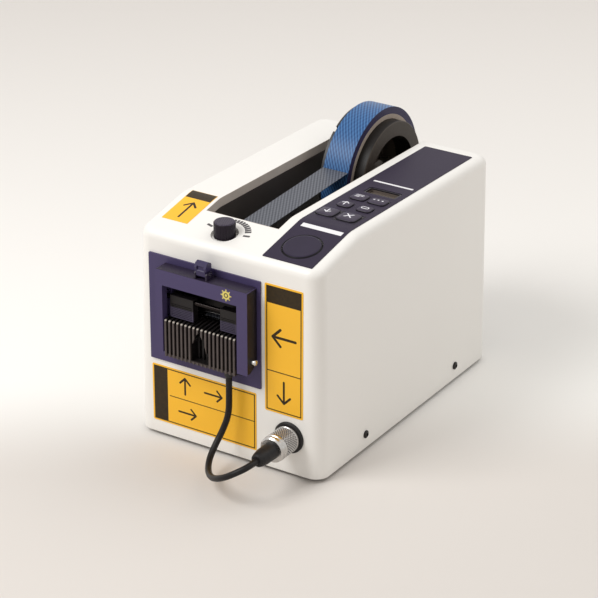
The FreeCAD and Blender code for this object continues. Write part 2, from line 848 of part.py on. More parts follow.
def make_motor_pinion():
    """The pinion and its motor shaft; its teeth meet the drive gear's gaps."""
    towards_pinion = pinion_angle
    drive_pitch = 360 / gear_teeth
    offset = (towards_pinion - 90) % drive_pitch / drive_pitch
    phase = towards_pinion + 180 + (offset + 0.5) * 360 / pinion_teeth
    gear = spur_gear(pinion_teeth, phase, pinion_y, pinion_z, 1.0)
    shaft = rod_x(pinion_y, pinion_z, 2.0, gear_x, motor_plate_x + 6)
    return fused(gear, shaft)


def make_feed_motor():
    x0 = motor_plate_x
    profile = [(x0, 2.0 + running_gap), (x0, motor_radius - 1), (x0 + 1, motor_radius),
               (x0 + motor_length - 1.5, motor_radius), (x0 + motor_length, motor_radius - 1.5),
               (x0 + motor_length, 0), (x0 + 8, 0), (x0 + 8, 2.0 + running_gap)]
    return turned(profile, Vector(0, pinion_y, pinion_z), Vector(1, 0, 0))


def make_fixed_blade():
    top = tape_level - nip_gap / 2
    return box(plate_left + plate_thickness, plate_right, fixed_blade_y, fixed_blade_y + blade_thickness,
               top - 10, top)


def make_moving_blade():
    edge = tape_level + blade_lift - 0.5
    left = plate_left + plate_thickness + 3.0
    right = plate_right - 3.0
    outline = [(left, edge), (right, edge + 1.2), (right, carrier_bottom() + carrier_height),
               (left, carrier_bottom() + carrier_height)]
    return front_prism(outline, moving_blade_y, moving_blade_y + blade_thickness)


def make_blade_carrier():
    low = carrier_bottom()
    rear_of_blade = moving_blade_y + blade_thickness
    bar = box(plate_left + plate_thickness + slot_gap, plate_right - slot_gap,
              rear_of_blade, rear_of_blade + carrier_depth, low, low + carrier_height)
    tongue_low, tongue_high = tongue_heights()
    y0, y1 = carrier_tongue_y()
    yoke_x1 = plate_left - 0.9
    yoke_x0 = yoke_x1 - yoke_thickness
    tongues = box(yoke_x1, plate_right + plate_thickness, y0, y1, tongue_low, tongue_high)
    rest = math.radians(crank_half_swing)
    slot_z = crank_z + crank_radius * math.sin(rest)
    reach = crank_pin_radius + yoke_clearance
    slot_y0 = crank_y + crank_radius * math.cos(rest) - reach
    slot_y1 = crank_y + crank_radius + reach
    yoke = box(yoke_x0, yoke_x1, y0, slot_y1 + 2.6, slot_z - reach - 2.2, slot_z + reach + 2.2)
    yoke = yoke.cut(box(yoke_x0 - 1, yoke_x1 + 1, slot_y0, slot_y1, slot_z - reach, slot_z + reach))
    return fused(bar, tongues, yoke)


def make_cutter_crank():
    rest = math.radians(crank_half_swing)
    pin_y = crank_y + crank_radius * math.cos(rest)
    pin_z = crank_z + crank_radius * math.sin(rest)
    yoke_x0 = plate_left - 0.9 - yoke_thickness
    disc = rod_x(crank_y, crank_z, crank_radius + 3.0, yoke_x0 - 3.5, yoke_x0 - 0.5)
    axle = rod_x(crank_y, crank_z, 2.5, yoke_x0 - 10, yoke_x0 - 3.0)
    pin = rod_x(pin_y, pin_z, crank_pin_radius, yoke_x0 - 1, yoke_x0 + yoke_thickness - 0.1)
    return fused(disc, axle, pin)


def make_cutter_motor():
    yoke_x0 = plate_left - 0.9 - yoke_thickness
    face = yoke_x0 - 5.5
    profile = [(face, 2.5 + running_gap), (face, 13.0), (face - 9, 13.0), (face - 10, 12.0),
               (face - 10, 0), (face - 6, 0), (face - 6, 2.5 + running_gap)]
    motor = turned(profile, Vector(0, crank_y, crank_z), Vector(1, 0, 0))
    bracket = box(face, face + 1.5, crank_y + 10.5, crank_y + 30, crank_z - 11, crank_z + 11)
    bracket = bracket.cut(rod_x(crank_y, crank_z, crank_radius + 5.5, face - 1, face + 5))
    posts = [rod_x(crank_y + 27, crank_z + side * 7.5, 2.2, face + 0.5, plate_left) for side in (-1, 1)]
    return fused(motor, bracket, *posts)


def ear(x0, x1):
    """A bezel ear that carries one end of the cover's pivot."""
    arm = box(x0, x1, pivot_y, -bezel_thickness, pivot_z - ear_radius, pivot_z + ear_radius)
    round_end = rod_x(pivot_y, pivot_z, ear_radius, x0, x1)
    return arm.fuse(round_end).cut(rod_x(pivot_y, pivot_z, pivot_radius, x0 - 1, x1 + 1))


def rail_bracket(x0, x1):
    arm = box(x0, x1, rail_y - 2.6, -bezel_thickness, rail_z - 2.6, rail_z + 2.6)
    return arm.cut(rod_x(rail_y, rail_z, rail_radius, x0 - 1, x1 + 1))


def make_front_bezel():
    plate = box(bezel_left, bezel_right, -bezel_thickness, 0, bezel_bottom, bezel_top)
    plate = rounded(plate, 0.4, Vector(0, 1, 0))
    frame = box(mouth_left + 0.2, mouth_right - 0.2, -0.5, wall, mouth_bottom + 0.2, mouth_top - 0.2)
    plate = plate.fuse(frame)
    plate = plate.cut(box(mouth_left + 0.2 + mouth_frame, mouth_right - 0.2 - mouth_frame, -5, wall + 1,
                          mouth_bottom + 0.2 + mouth_frame, mouth_top - 0.2 - mouth_frame))
    notch_half = latch_head_width / 2 + 0.8
    plate = plate.cut(box(latch_centre - notch_half, latch_centre + notch_half, -5, -0.6,
                          cover_top - 1.0, bezel_top + 1))
    ears = [ear(cover_left + cover_wall + 0.3, cover_left + cover_wall + 1.8),
            ear(cover_right - cover_wall - 3.4, cover_right - cover_wall - 0.3)]
    brackets = [rail_bracket(rail_left, rail_left + bracket_width),
                rail_bracket(rail_right - bracket_width, rail_right)]
    return fused(plate, *ears, *brackets)


def swing_clearance(reach):
    """What lies under the pivot and would come nearer the bezel than reach when the cover opens."""
    swing = math.radians(cover_swing)
    touch = (pivot_y + reach * math.cos(swing), pivot_z - reach * math.sin(swing))
    depth = 20.0
    low = (touch[0] - depth * math.tan(swing), touch[1] - depth)
    outline = [(pivot_y, pivot_z), (pivot_y + 30, pivot_z), (pivot_y + 30, low[1]), low, touch]
    region = side_prism(outline, cover_left - 1, cover_right + 1)
    return region.cut(rod_x(pivot_y, pivot_z, reach, cover_left - 2, cover_right + 2))


def make_front_cover():
    outer = box(cover_left, cover_right, cover_front, cover_back, cover_bottom, cover_top)
    outer = rounded(outer, 1.2, Vector(0, 1, 0))
    hollow = box(cover_left + cover_wall, cover_right - cover_wall, cover_front + cover_wall, cover_back + 1,
                 cover_bottom - 1, cover_top - cover_wall)
    walls = outer.cut(hollow)
    side_returns = [
        box(window_left - return_wall, window_left, cover_front + 0.5, rail_y - rail_radius - 0.6,
            cover_bottom, window_top + return_wall),
        box(window_right, window_right + return_wall, cover_front + 0.5, rail_y - rail_radius - 0.6,
            cover_bottom, window_top + return_wall),
        box(window_left - return_wall, window_right + return_wall, cover_front + 0.5, rail_y - rail_radius - 1.0,
            window_top, window_top + return_wall),
    ]
    cover = fused(walls, *side_returns)
    cover = cover.cut(box(window_left, window_right, cover_front - 1, cover_back + 1,
                          cover_bottom - 1, window_top))
    below = swing_clearance(-bezel_thickness - 0.4 - pivot_y)
    cover = fused(cover.cut(below), *latch_ears())
    cover = cover.cut(rod_x(latch_pin_y, latch_pin_z, latch_pin_radius, latch_centre - 10, latch_centre + 10))
    return cover.cut(rod_x(pivot_y, pivot_z, pivot_radius + running_gap, cover_left - 1, cover_right + 1))


def make_bezel_pins():
    """Two pivot pins for the cover and the rail that the tape guides slide on."""
    left = rod_x(pivot_y, pivot_z, pivot_radius, cover_left - 0.4, cover_left + cover_wall + 1.8)
    right = rod_x(pivot_y, pivot_z, pivot_radius, cover_right - cover_wall - 3.4, cover_right + 0.4)
    rail = rod_x(rail_y, rail_z, rail_radius, rail_left, rail_right)
    return Part.makeCompound([left, right, rail])


def latch_ears():
    """Two ears on the cover's top that carry the latch's pin."""
    half = latch_width / 2 + 0.2
    outline = [(cover_front + 0.4, cover_top - 1.0), (cover_front + 0.4, cover_top + 4.0),
               (cover_front + 1.2, cover_top + 4.8), (latch_pin_y + 2.0, cover_top + 4.8),
               (latch_pin_y + 2.6, cover_top + 3.8), (latch_pin_y + 3.0, cover_top - 1.0)]
    ears = [side_prism(outline, latch_centre - half - latch_ear, latch_centre - half),
            side_prism(outline, latch_centre + half, latch_centre + half + latch_ear)]
    return ears


def make_cover_latch():
    """A thumb catch that rocks on the cover's ears; its tail snaps into the bezel's notch."""
    y = latch_pin_y
    z = latch_pin_z
    tail = [(y - 3.3, z - 0.6), (y - 3.7, z + 3.2), (y, z + 4.0), (y + 2.4, z + 3.4), (y + 6.4, z + 0.6), (y + 6.6, z - 0.2),
            (y + 6.6, z - 1.2), (y + 6.0, z - 1.6), (y + 2.6, z - 2.2), (y - 1.6, z - 2.2)]
    head = [(y - 3.7, z + 3.2), (y - 4.2, z + 5.0), (y - 2.8, z + 7.6), (y - 0.6, z + 8.4),
            (y + 1.6, z + 7.4), (y + 2.2, z + 6.2), (y + 2.2, z + 3.2)]
    block = side_prism(tail, latch_centre - latch_width / 2, latch_centre + latch_width / 2)
    head_half = latch_head_width / 2
    block = block.fuse(side_prism(head, latch_centre - head_half, latch_centre + head_half))
    scallop = rod_x(y - 5.4, z + 4.4, 2.4, latch_centre - head_half + 1.6, latch_centre + head_half - 1.6)
    block = block.removeSplitter().cut(scallop)
    return block.cut(rod_x(y, z, latch_pin_radius + running_gap, latch_centre - 10, latch_centre + 10))


def make_latch_pin():
    half = latch_width / 2 + 0.2 + latch_ear + 0.3
    return rod_x(latch_pin_y, latch_pin_z, latch_pin_radius, latch_centre - half, latch_centre + half)


def rib_outline():
    return [(comb_front, comb_bottom), (comb_front, comb_tip - 1.2), (comb_front + 0.5, comb_tip - 0.3),
            (comb_front + 1.5, comb_tip), (comb_rear, comb_tip + 0.9), (comb_rear, comb_tip - 5.5),
            (-bezel_thickness - 2.0, comb_tip - 8.0), (-bezel_thickness - 2.0, comb_bottom)]


def make_rib_comb():
    pitch = (comb_right - comb_left - rib_thickness) / (comb_ribs - 1)
    backing = box(comb_left, comb_right, -bezel_thickness - 2.0, -bezel_thickness,
                  comb_bottom - 3.0, comb_tip - 4.0)
    floor = box(comb_left, comb_right, comb_front + 0.6, -bezel_thickness - 1.0, comb_bottom, comb_bottom + 1.5)
    comb = backing.fuse(floor)
    for rib in range(comb_ribs):
        x0 = comb_left + rib * pitch
        comb = comb.fuse(side_prism(rib_outline(), x0, x0 + rib_thickness))
    comb = comb.removeSplitter()
    return comb.cut(scoop())


def scoop():
    """A pointed arch cut into the comb's front, so that fingers reach under the tape."""
    left = scoop_centre - scoop_half_width
    right = scoop_centre + scoop_half_width
    low = comb_bottom + 1.5
    front = comb_front - 1
    shoulder = low + (scoop_top - low) * 0.55
    top = Vector(scoop_centre, front, scoop_top)
    start = Vector(left, front, low)
    end = Vector(right, front, low)
    edges = [
        Part.LineSegment(start, end).toShape(),
        Part.Arc(end, Vector(right - 1.4, front, shoulder), top).toShape(),
        Part.Arc(top, Vector(left + 1.4, front, shoulder), start).toShape(),
    ]
    return Part.Face(Part.Wire(edges)).extrude(Vector(0, scoop_depth, 0))


def make_tape_sensor():
    """A light sensor behind the comb, with the nipple that its lead leaves by."""
    x = cord_route[0][0]
    y = cord_route[0][1]
    block = box(x - 5.5, x + 4.0, -bezel_thickness, 2.2, comb_tip - 19.6, comb_tip - 9.4)
    return block


def make_cord_gland():
    x, y, z = cord_route[0]
    return turned([(z, 0), (z, 2.2), (z + 0.8, 2.8), (comb_bottom, 2.8), (comb_bottom, 0)],
                  Vector(x, y, 0), Vector(0, 0, 1))


def guide_shoe(x0, x1):
    """A ridged tape guide that hangs from the rail, just above the comb."""
    low = comb_tip + 1.1
    front = rail_y - 2.4
    back = -bezel_thickness - 0.4
    shoe = box(x0, x1, front, back, low, guide_shoe_top)
    head = box(x0, x1, rail_y - 2.4, back, guide_shoe_top - 0.5, rail_z + 2.4)
    shoe = shoe.fuse(head).removeSplitter()
    ridge = low + 1.0
    while ridge < guide_shoe_top - 1.0:
        shoe = shoe.cut(box(x0 + 0.8, x1 - 0.8, front - 1, front + 0.45, ridge, ridge + 0.5))
        ridge += 1.1
    return shoe.cut(rod_x(rail_y, rail_z, rail_radius + running_gap, x0 - 1, x1 + 1))


def make_tape_guide_left():
    return guide_shoe(guide_left_outer, tape_left - tape_side_gap)


def make_tape_guide_right():
    return guide_shoe(tape_right + tape_side_gap, guide_right_outer)


def make_panel_film():
    layer = under_top(-film_thickness).cut(under_top(0))
    outline = box(panel_left, panel_right, panel_front, panel_rear, 100, 200)
    outline = rounded(outline, panel_corner, Vector(0, 0, 1))
    return cut(layer.common(outline), *panel_holes(button_gap, -2 * wall, 3))


def make_start_button():
    profile = [(-5.5, 0), (-5.5, 2.5), (-2.0, 2.5), (-2.0, start_radius), (0.3, start_radius),
               (0.8, start_radius - 0.4), (1.0, start_radius - 1.4), (1.0, 0)]
    cap = turned(profile, Vector(0, 0, 0), Vector(0, 0, 1))
    return on_top(cap, start_x, start_y)


def make_key(x, y, width, depth):
    cap = key_block(width, depth, -2.0, film_thickness + key_rise, 2.0)
    top_edges = [edge for edge in cap.Edges
                 if all(vertex.Z > film_thickness + key_rise - 0.01 for vertex in edge.Vertexes)]
    cap = cap.makeFillet(0.7, top_edges)
    cap = fused(cap, rod_z(0, 0, 1.6, -4.3, -1.5))
    return on_top(cap, x, y)


def make_display_lens():
    """The window and its rim, which lines the opening down to the window."""
    tray = key_block(display_width - 0.2, display_depth - 0.2, -wall - 0.7, film_thickness - 0.3, 1.4)
    pocket = key_block(display_width - 2.2, display_depth - 2.2, -display_recess, 2, 0.8)
    return on_top(tray.cut(pocket), display_x, display_y)


def make_display_module():
    low = -board_drop + board_thickness
    block = box(-display_width / 2 + 1, display_width / 2 - 1, -display_depth / 2 + 1, display_depth / 2 - 1,
                low, -wall - 1.0)
    return on_top(block, display_x, display_y)


def make_control_boards():
    """The key board and the start board, each with its switches soldered on."""
    low = -board_drop
    top = low + board_thickness
    middle_y = 93.0
    boards = on_top(box(-19.0, 17.5, -39.5, 35.0, low, top), display_x, middle_y)
    solids = [boards]
    for name, x, y, width, depth in key_layout():
        half = switch_size / 2
        solids[0] = solids[0].fuse(on_top(box(-half, half, -half, half, top - 0.1, top + switch_height), x, y))
    start = on_top(box(-15.0, 16.5, -16.0, 14.0, low, top), start_x, start_y)
    start = start.fuse(on_top(box(-4, 4, -4, 4, top - 0.1, top + pad_height), start_x, start_y))
    return Part.makeCompound([solids[0].removeSplitter(), start.removeSplitter(), make_display_module()])


def in_recess(shape):
    """Stand a shape, modelled upright on the origin, on the floor of the knob's recess."""
    placed = shape.copy()
    placed.translate(Vector(knob_x, knob_y, recess_floor))
    return placed


def make_adjust_knob():
    low = 0.4
    high = knob_height
    skirt = knob_radius - 0.9
    bore = spindle_radius + 0.1
    body = turned([(low, skirt), (low, knob_radius), (high - 0.8, knob_radius), (high, knob_radius - 0.8),
                   (high, 0), (high - 1.5, 0), (high - 1.5, bore), (collar_height + 0.5, bore),
                   (collar_height + 0.5, skirt)], Vector(0, 0, 0), Vector(0, 0, 1))
    for flute in range(knob_flutes):
        angle = 2 * math.pi * flute / knob_flutes
        centre = knob_radius + 0.4
        body = body.cut(rod_z(centre * math.cos(angle), centre * math.sin(angle), 0.6, low - 1, high + 1))
    spindle = rod_z(0, 0, spindle_radius, collar_height + 0.2, high - 1.5)
    spindle = spindle.fuse(rod_z(0, 0, spindle_radius - running_gap, -8.0, collar_height + 0.3)).removeSplitter()
    return Part.makeCompound([in_recess(body), in_recess(spindle)])


def make_potentiometer():
    """The turning resistor below the recess and the nut that clamps it from above."""
    body = turned([(-15.0, 0), (-15.0, 7.5), (-wall - 0.2, 7.5), (-wall - 0.2, 4.0), (collar_height, 4.0),
                   (collar_height, spindle_radius), (-8.2, spindle_radius), (-8.2, 0)],
                  Vector(0, 0, 0), Vector(0, 0, 1))
    nut = turned([(0, 4.0), (0, collar_radius), (collar_height - 0.3, collar_radius),
                  (collar_height, collar_radius - 0.3), (collar_height, 4.0)],
                 Vector(0, 0, 0), Vector(0, 0, 1))
    return Part.makeCompound([in_recess(body), in_recess(nut)])


def turned_y(profile):
    return turned(profile, Vector(socket_x, 0, socket_z), Vector(0, 1, 0))


def make_panel_socket():
    """The threaded socket, clamped through the front wall by its rubber gasket ring."""
    return turned_y([(-11.5, 0), (-11.5, socket_radius), (-gasket_thickness, socket_radius),
                     (-gasket_thickness, gasket_radius - 0.6), (-gasket_thickness + 0.6, gasket_radius),
                     (0, gasket_radius), (0, socket_radius), (wall, socket_radius),
                     (wall, socket_radius + 3.0), (wall + 3, socket_radius + 3.0), (wall + 3, socket_radius),
                     (14, socket_radius), (14, 0)])


def make_plug_body():
    inner = plug_radius - ring_wall
    bore = socket_radius + 0.1
    return turned_y([(plug_front, 0), (plug_front, plug_radius - 1.3), (plug_front + 0.9, plug_radius - 0.3),
                     (plug_front + 3.0, plug_radius - 0.3), (plug_front + 3.0, inner),
                     (-gasket_thickness - 0.4, inner), (-gasket_thickness - 0.4, bore),
                     (-11.8, bore), (-11.8, 0)])


def make_coupling_ring():
    inner = plug_radius - ring_wall + running_gap
    front = plug_front + 3.2
    rear = -gasket_thickness - 0.3
    return turned_y([(front, inner), (front, plug_radius - 0.4), (front + 0.5, plug_radius),
                     (rear - 0.5, plug_radius), (rear, plug_radius - 0.4), (rear, inner)])


def make_plug_boot():
    profile = [(plug_front, 0), (plug_front, boot_radius), (plug_front - 9.0, boot_radius - 0.2),
               (boot_end + 2.6, boot_radius - 0.8), (boot_end + 0.7, boot_tip_radius + 0.6),
               (boot_end, boot_tip_radius - 0.4), (boot_end, 0)]
    return turned_y(profile)


def cord_edges(points):
    """Straight runs joined by tangent arcs, and the arcs' radii."""
    corners = [Vector(*point) for point in points]
    edges = []
    radii = []
    last = corners[0]
    for before, corner, after in zip(corners, corners[1:], corners[2:]):
        back = (before - corner)
        ahead = (after - corner)
        trim = 0.45 * min(back.Length, ahead.Length)
        back.normalize()
        ahead.normalize()
        half_turn = (math.pi - back.getAngle(ahead)) / 2
        radius = trim / math.tan(half_turn)
        start = corner + back * trim
        end = corner + ahead * trim
        inward = (back + ahead).normalize()
        middle = corner + inward * radius * (1 / math.cos(half_turn) - 1)
        edges.append(Part.LineSegment(last, start).toShape())
        edges.append(Part.Arc(start, middle, end).toShape())
        radii.append(radius)
        last = end
    edges.append(Part.LineSegment(last, corners[-1]).toShape())
    return edges, radii


def make_sensor_cord():
    edges, radii = cord_edges(cord_route)
    path = Part.Wire(edges)
    start = Vector(*cord_route[0])
    heading = (Vector(*cord_route[1]) - start).normalize()
    section = Part.Wire([Part.Circle(start, heading, cord_diameter / 2).toShape()])
    tube = path.makePipeShell([section], True, False)
    expected = path.Length * math.pi * cord_diameter ** 2 / 4
    print("cord length", round(path.Length, 1), "volume ratio", round(tube.Volume / expected, 5))
    print("cord radii", [round(radius, 1) for radius in radii])
    return tube


def make_power_inlet():
    y0 = casing_depth
    flange = box(inlet_x - 15, inlet_x + 15, y0, y0 + 1.8, inlet_z - 11.5, inlet_z + 11.5)
    flange = rounded(flange, 2.0, Vector(0, 1, 0))
    body = box(inlet_x - 13.4, inlet_x + 13.4, y0 - 18, y0 + 0.5, inlet_z - 9.4, inlet_z + 9.4)
    body = flange.fuse(body).removeSplitter()
    pocket = box(inlet_x - 11, inlet_x + 11, y0 - 13, y0 + 3, inlet_z - 7, inlet_z + 7)
    body = body.cut(rounded(pocket, 2.5, Vector(0, 1, 0)))
    for dx, dz in ((-6, -1.5), (6, -1.5), (0, 2.5)):
        body = body.fuse(box(inlet_x + dx - 1, inlet_x + dx + 1, y0 - 13.5, y0 - 4,
                             inlet_z + dz - 2, inlet_z + dz + 2))
    return body.removeSplitter()


def make_power_fittings():
    return Part.makeCompound([make_power_inlet(), make_switch_frame()])


def rocker_tilt(shape):
    shape.rotate(Vector(switch_x, casing_depth - 2.5, switch_z), Vector(0, 0, 1), rocker_half_swing)
    return shape


def make_switch_frame():
    y0 = casing_depth
    flange = box(switch_x - 11, switch_x + 11, y0, y0 + 1.5, switch_z - 7.8, switch_z + 7.8)
    body = box(switch_x - 9.4, switch_x + 9.4, y0 - 14, y0 + 0.5, switch_z - 6.4, switch_z + 6.4)
    body = rounded(flange, 1.0, Vector(0, 1, 0)).fuse(body).removeSplitter()
    return body.cut(box(switch_x - 8, switch_x + 8, y0 - 9, y0 + 3, switch_z - 5, switch_z + 5))


def make_power_switch():
    y0 = casing_depth
    axis_y = y0 - 2.5
    outline = [(-7.0, 2.0), (-6.6, 4.6), (0, 3.4), (6.6, 4.6), (7.0, 2.0), (2.2, -3.0), (-2.2, -3.0)]
    corners = [Vector(switch_x + dx, axis_y + dy, switch_z - 4.7) for dx, dy in outline]
    rocker = Part.Face(Part.makePolygon(corners + corners[:1])).extrude(Vector(0, 0, 9.4))
    trunnions = rod_z(switch_x, axis_y, 1.4, switch_z - 4.95, switch_z + 4.95)
    return rocker_tilt(rocker.fuse(trunnions).removeSplitter())


def make_power_supply():
    low = casing_bottom + base_thickness
    rear = casing_depth - supply_inset
    front = rear - supply_length
    board = box(-34, 16, front, rear, low + 4, low + 5.6)
    posts = [rod_z(x, y, 2.4, low, low + 4.2) for x in (-30, 12) for y in (front + 4, rear - 4)]
    core = box(-28, 4, front + 12, front + 48, low + 5.5, low + 36)
    winding = box(-22, -2, front + 7, front + 53, low + 8, low + 33)
    capacitors = [rod_z(x, rear - 16, 7, low + 5.5, low + 30) for x in (-24, -7)]
    sink = box(8, 12, rear - 38, rear - 6, low + 5.5, low + 34)
    return fused(board, core, winding, sink, *posts, *capacitors)


def make_face_labels():
    """Thin sticker panels on the front face and on the top, left of the well."""
    right = box(bezel_right + 2.6, bezel_right + 30.2, -label_thickness, 0, bezel_bottom - 13.4, bezel_top + 0.3)
    lower = box(bezel_left + 0.2, bezel_right - 3.9, -label_thickness, 0, 11.4, bezel_bottom - 4.4)
    layer = under_top(-label_thickness).cut(under_top(0))
    top = layer.common(box(well_left - 21.7, well_left - 2.5, 15.0, bend_y + 1.8, 100, 200))
    return Part.makeCompound([rounded(right, 1.0, Vector(0, 1, 0)), rounded(lower, 1.0, Vector(0, 1, 0)), top])


def all_pieces():
    pieces = {
        "casing": make_casing(),
        "base_plate": make_base_plate(),
        "rubber_feet": make_rubber_feet(),
        "side_screws": make_side_screws(),
        "well_liner": make_well_liner(),
        "frame_plate_left": make_frame_plate_left(),
        "frame_plate_right": make_frame_plate_right(),
        "cross_rods": make_cross_rods(),
        "reel_shaft": make_reel_shaft(),
        "reel_hub": make_reel_hub(),
        "reel_flange": make_reel_flange(),
        "paper_core": make_paper_core(),
        "tape_roll": make_tape_roll(),
        "tape_web": make_tape_web(),
        "guide_roller": make_guide_roller(),
        "feed_roller": make_feed_roller(),
        "feed_shaft": roller_shaft(feed_z),
        "pressure_roller": make_pressure_roller(),
        "pressure_shaft": roller_shaft(pressure_z),
        "roller_bushes": make_roller_bushes(),
        "drive_gear": make_drive_gear(),
        "pressure_gear": make_pressure_gear(),
        "motor_pinion": make_motor_pinion(),
        "feed_motor": make_feed_motor(),
        "fixed_blade": make_fixed_blade(),
        "moving_blade": make_moving_blade(),
        "blade_carrier": make_blade_carrier(),
        "cutter_crank": make_cutter_crank(),
        "cutter_motor": make_cutter_motor(),
        "front_bezel": make_front_bezel(),
        "front_cover": make_front_cover(),
        "bezel_pins": make_bezel_pins(),
        "cover_latch": make_cover_latch(),
        "latch_pin": make_latch_pin(),
        "rib_comb": make_rib_comb(),
        "tape_sensor": make_tape_sensor(),
        "cord_gland": make_cord_gland(),
        "tape_guide_left": make_tape_guide_left(),
        "tape_guide_right": make_tape_guide_right(),
        "panel_film": make_panel_film(),
        "start_button": make_start_button(),
        "display_lens": make_display_lens(),
        "control_boards": make_control_boards(),
        "adjust_knob": make_adjust_knob(),
        "potentiometer": make_potentiometer(),
        "panel_socket": make_panel_socket(),
        "plug_body": make_plug_body(),
        "coupling_ring": make_coupling_ring(),
        "plug_boot": make_plug_boot(),
        "sensor_cord": make_sensor_cord(),
        "power_inlet": make_power_fittings(),
        "power_supply": make_power_supply(),
        "power_switch": make_power_switch(),
        "face_labels": make_face_labels(),
    }
    for name, x, y, width, depth in key_layout():
        pieces[name] = make_key(x, y, width, depth)
    return pieces


os.makedirs("parts", exist_ok=True)
for node, shape in all_pieces().items():
    shape.translate(Vector(0, -origin_y, 0))
    shape.exportStep("parts/" + node + ".step")
    if not shape.isValid():
        print("not valid:", node)
print("origin is", round(origin_y, 3), "mm behind the front face")
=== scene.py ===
import math

import bmesh
import bpy
from mathutils import Matrix, Vector


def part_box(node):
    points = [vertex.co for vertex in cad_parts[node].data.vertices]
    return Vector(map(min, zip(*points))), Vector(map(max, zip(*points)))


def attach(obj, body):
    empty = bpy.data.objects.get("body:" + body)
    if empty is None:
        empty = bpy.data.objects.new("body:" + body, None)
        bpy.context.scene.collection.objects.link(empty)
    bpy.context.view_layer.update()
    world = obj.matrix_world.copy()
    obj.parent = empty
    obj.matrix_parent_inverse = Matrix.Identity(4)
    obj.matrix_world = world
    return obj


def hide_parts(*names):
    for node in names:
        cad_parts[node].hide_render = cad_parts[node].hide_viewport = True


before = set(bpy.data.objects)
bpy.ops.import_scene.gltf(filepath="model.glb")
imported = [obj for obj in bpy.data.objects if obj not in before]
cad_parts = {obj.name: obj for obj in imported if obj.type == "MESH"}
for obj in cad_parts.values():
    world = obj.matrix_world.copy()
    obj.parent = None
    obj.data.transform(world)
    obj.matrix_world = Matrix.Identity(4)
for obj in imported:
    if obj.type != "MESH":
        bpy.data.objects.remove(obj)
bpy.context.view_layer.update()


# The studio is a pale warm tabletop under a soft lamp at the front left, a wider one at the rear
# right and an even sky.  The camera looks down from the front right through a long lens.

MM = 0.001
front_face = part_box("casing")[0].y


def at(x, y, z):
    """A place given in mm, with y counted back from the casing's front face."""
    return Vector((x * MM, front_face + y * MM, z * MM))


def paint(red, green, blue):
    """A colour as it is mixed, from the 0 to 255 values that it shows on a screen."""
    levels = [value / 255 for value in (red, green, blue)]
    return tuple(v / 12.92 if v < 0.04045 else ((v + 0.055) / 1.055) ** 2.4 for v in levels) + (1.0,)


def toned(colour, share):
    """The same colour, lighter or darker."""
    return tuple(min(1.0, value * share) for value in colour[:3]) + (1.0,)


class Signal:
    """A node's output that plain arithmetic can be written with; each operator adds a Math node."""

    def __init__(self, recipe, socket):
        self.recipe = recipe
        self.socket = socket

    def maths(self, operation, *values, clamp=False):
        settings = {"operation": operation, "use_clamp": clamp}
        return self.recipe.node("ShaderNodeMath", settings, dict(enumerate(values)))

    def __add__(self, other):
        return self.maths("ADD", self, other)

    def __radd__(self, other):
        return self.maths("ADD", other, self)

    def __sub__(self, other):
        return self.maths("SUBTRACT", self, other)

    def __rsub__(self, other):
        return self.maths("SUBTRACT", other, self)

    def __mul__(self, other):
        return self.maths("MULTIPLY", self, other)

    def __rmul__(self, other):
        return self.maths("MULTIPLY", other, self)

    def __truediv__(self, other):
        return self.maths("DIVIDE", self, other)

    def __rtruediv__(self, other):
        return self.maths("DIVIDE", other, self)

    def __gt__(self, other):
        return self.maths("GREATER_THAN", self, other)

    def __lt__(self, other):
        return self.maths("LESS_THAN", self, other)

    def __abs__(self):
        return self.maths("ABSOLUTE", self)

    def clipped(self):
        return self.maths("ADD", self, 0.0, clamp=True)

    def wave(self, length):
        """Rises and falls between 0 and 1, once for each length."""
        return self.maths("SINE", self * (2 * math.pi / length)) * 0.5 + 0.5

    def either(self, other):
        return self.maths("MAXIMUM", self, other)


class Recipe:
    """A node tree that is written down one node at a time."""

    def __init__(self, tree):
        self.tree = tree

    def node(self, kind, settings, sockets, output=0):
        made = self.tree.nodes.new(kind)
        for name, value in settings.items():
            setattr(made, name, value)
        for name, value in sockets.items():
            self.feed(made.inputs[name], value)
        return Signal(self, made.outputs[output])

    def feed(self, socket, value):
        if isinstance(value, Signal):
            self.tree.links.new(value.socket, socket)
        else:
            socket.default_value = value


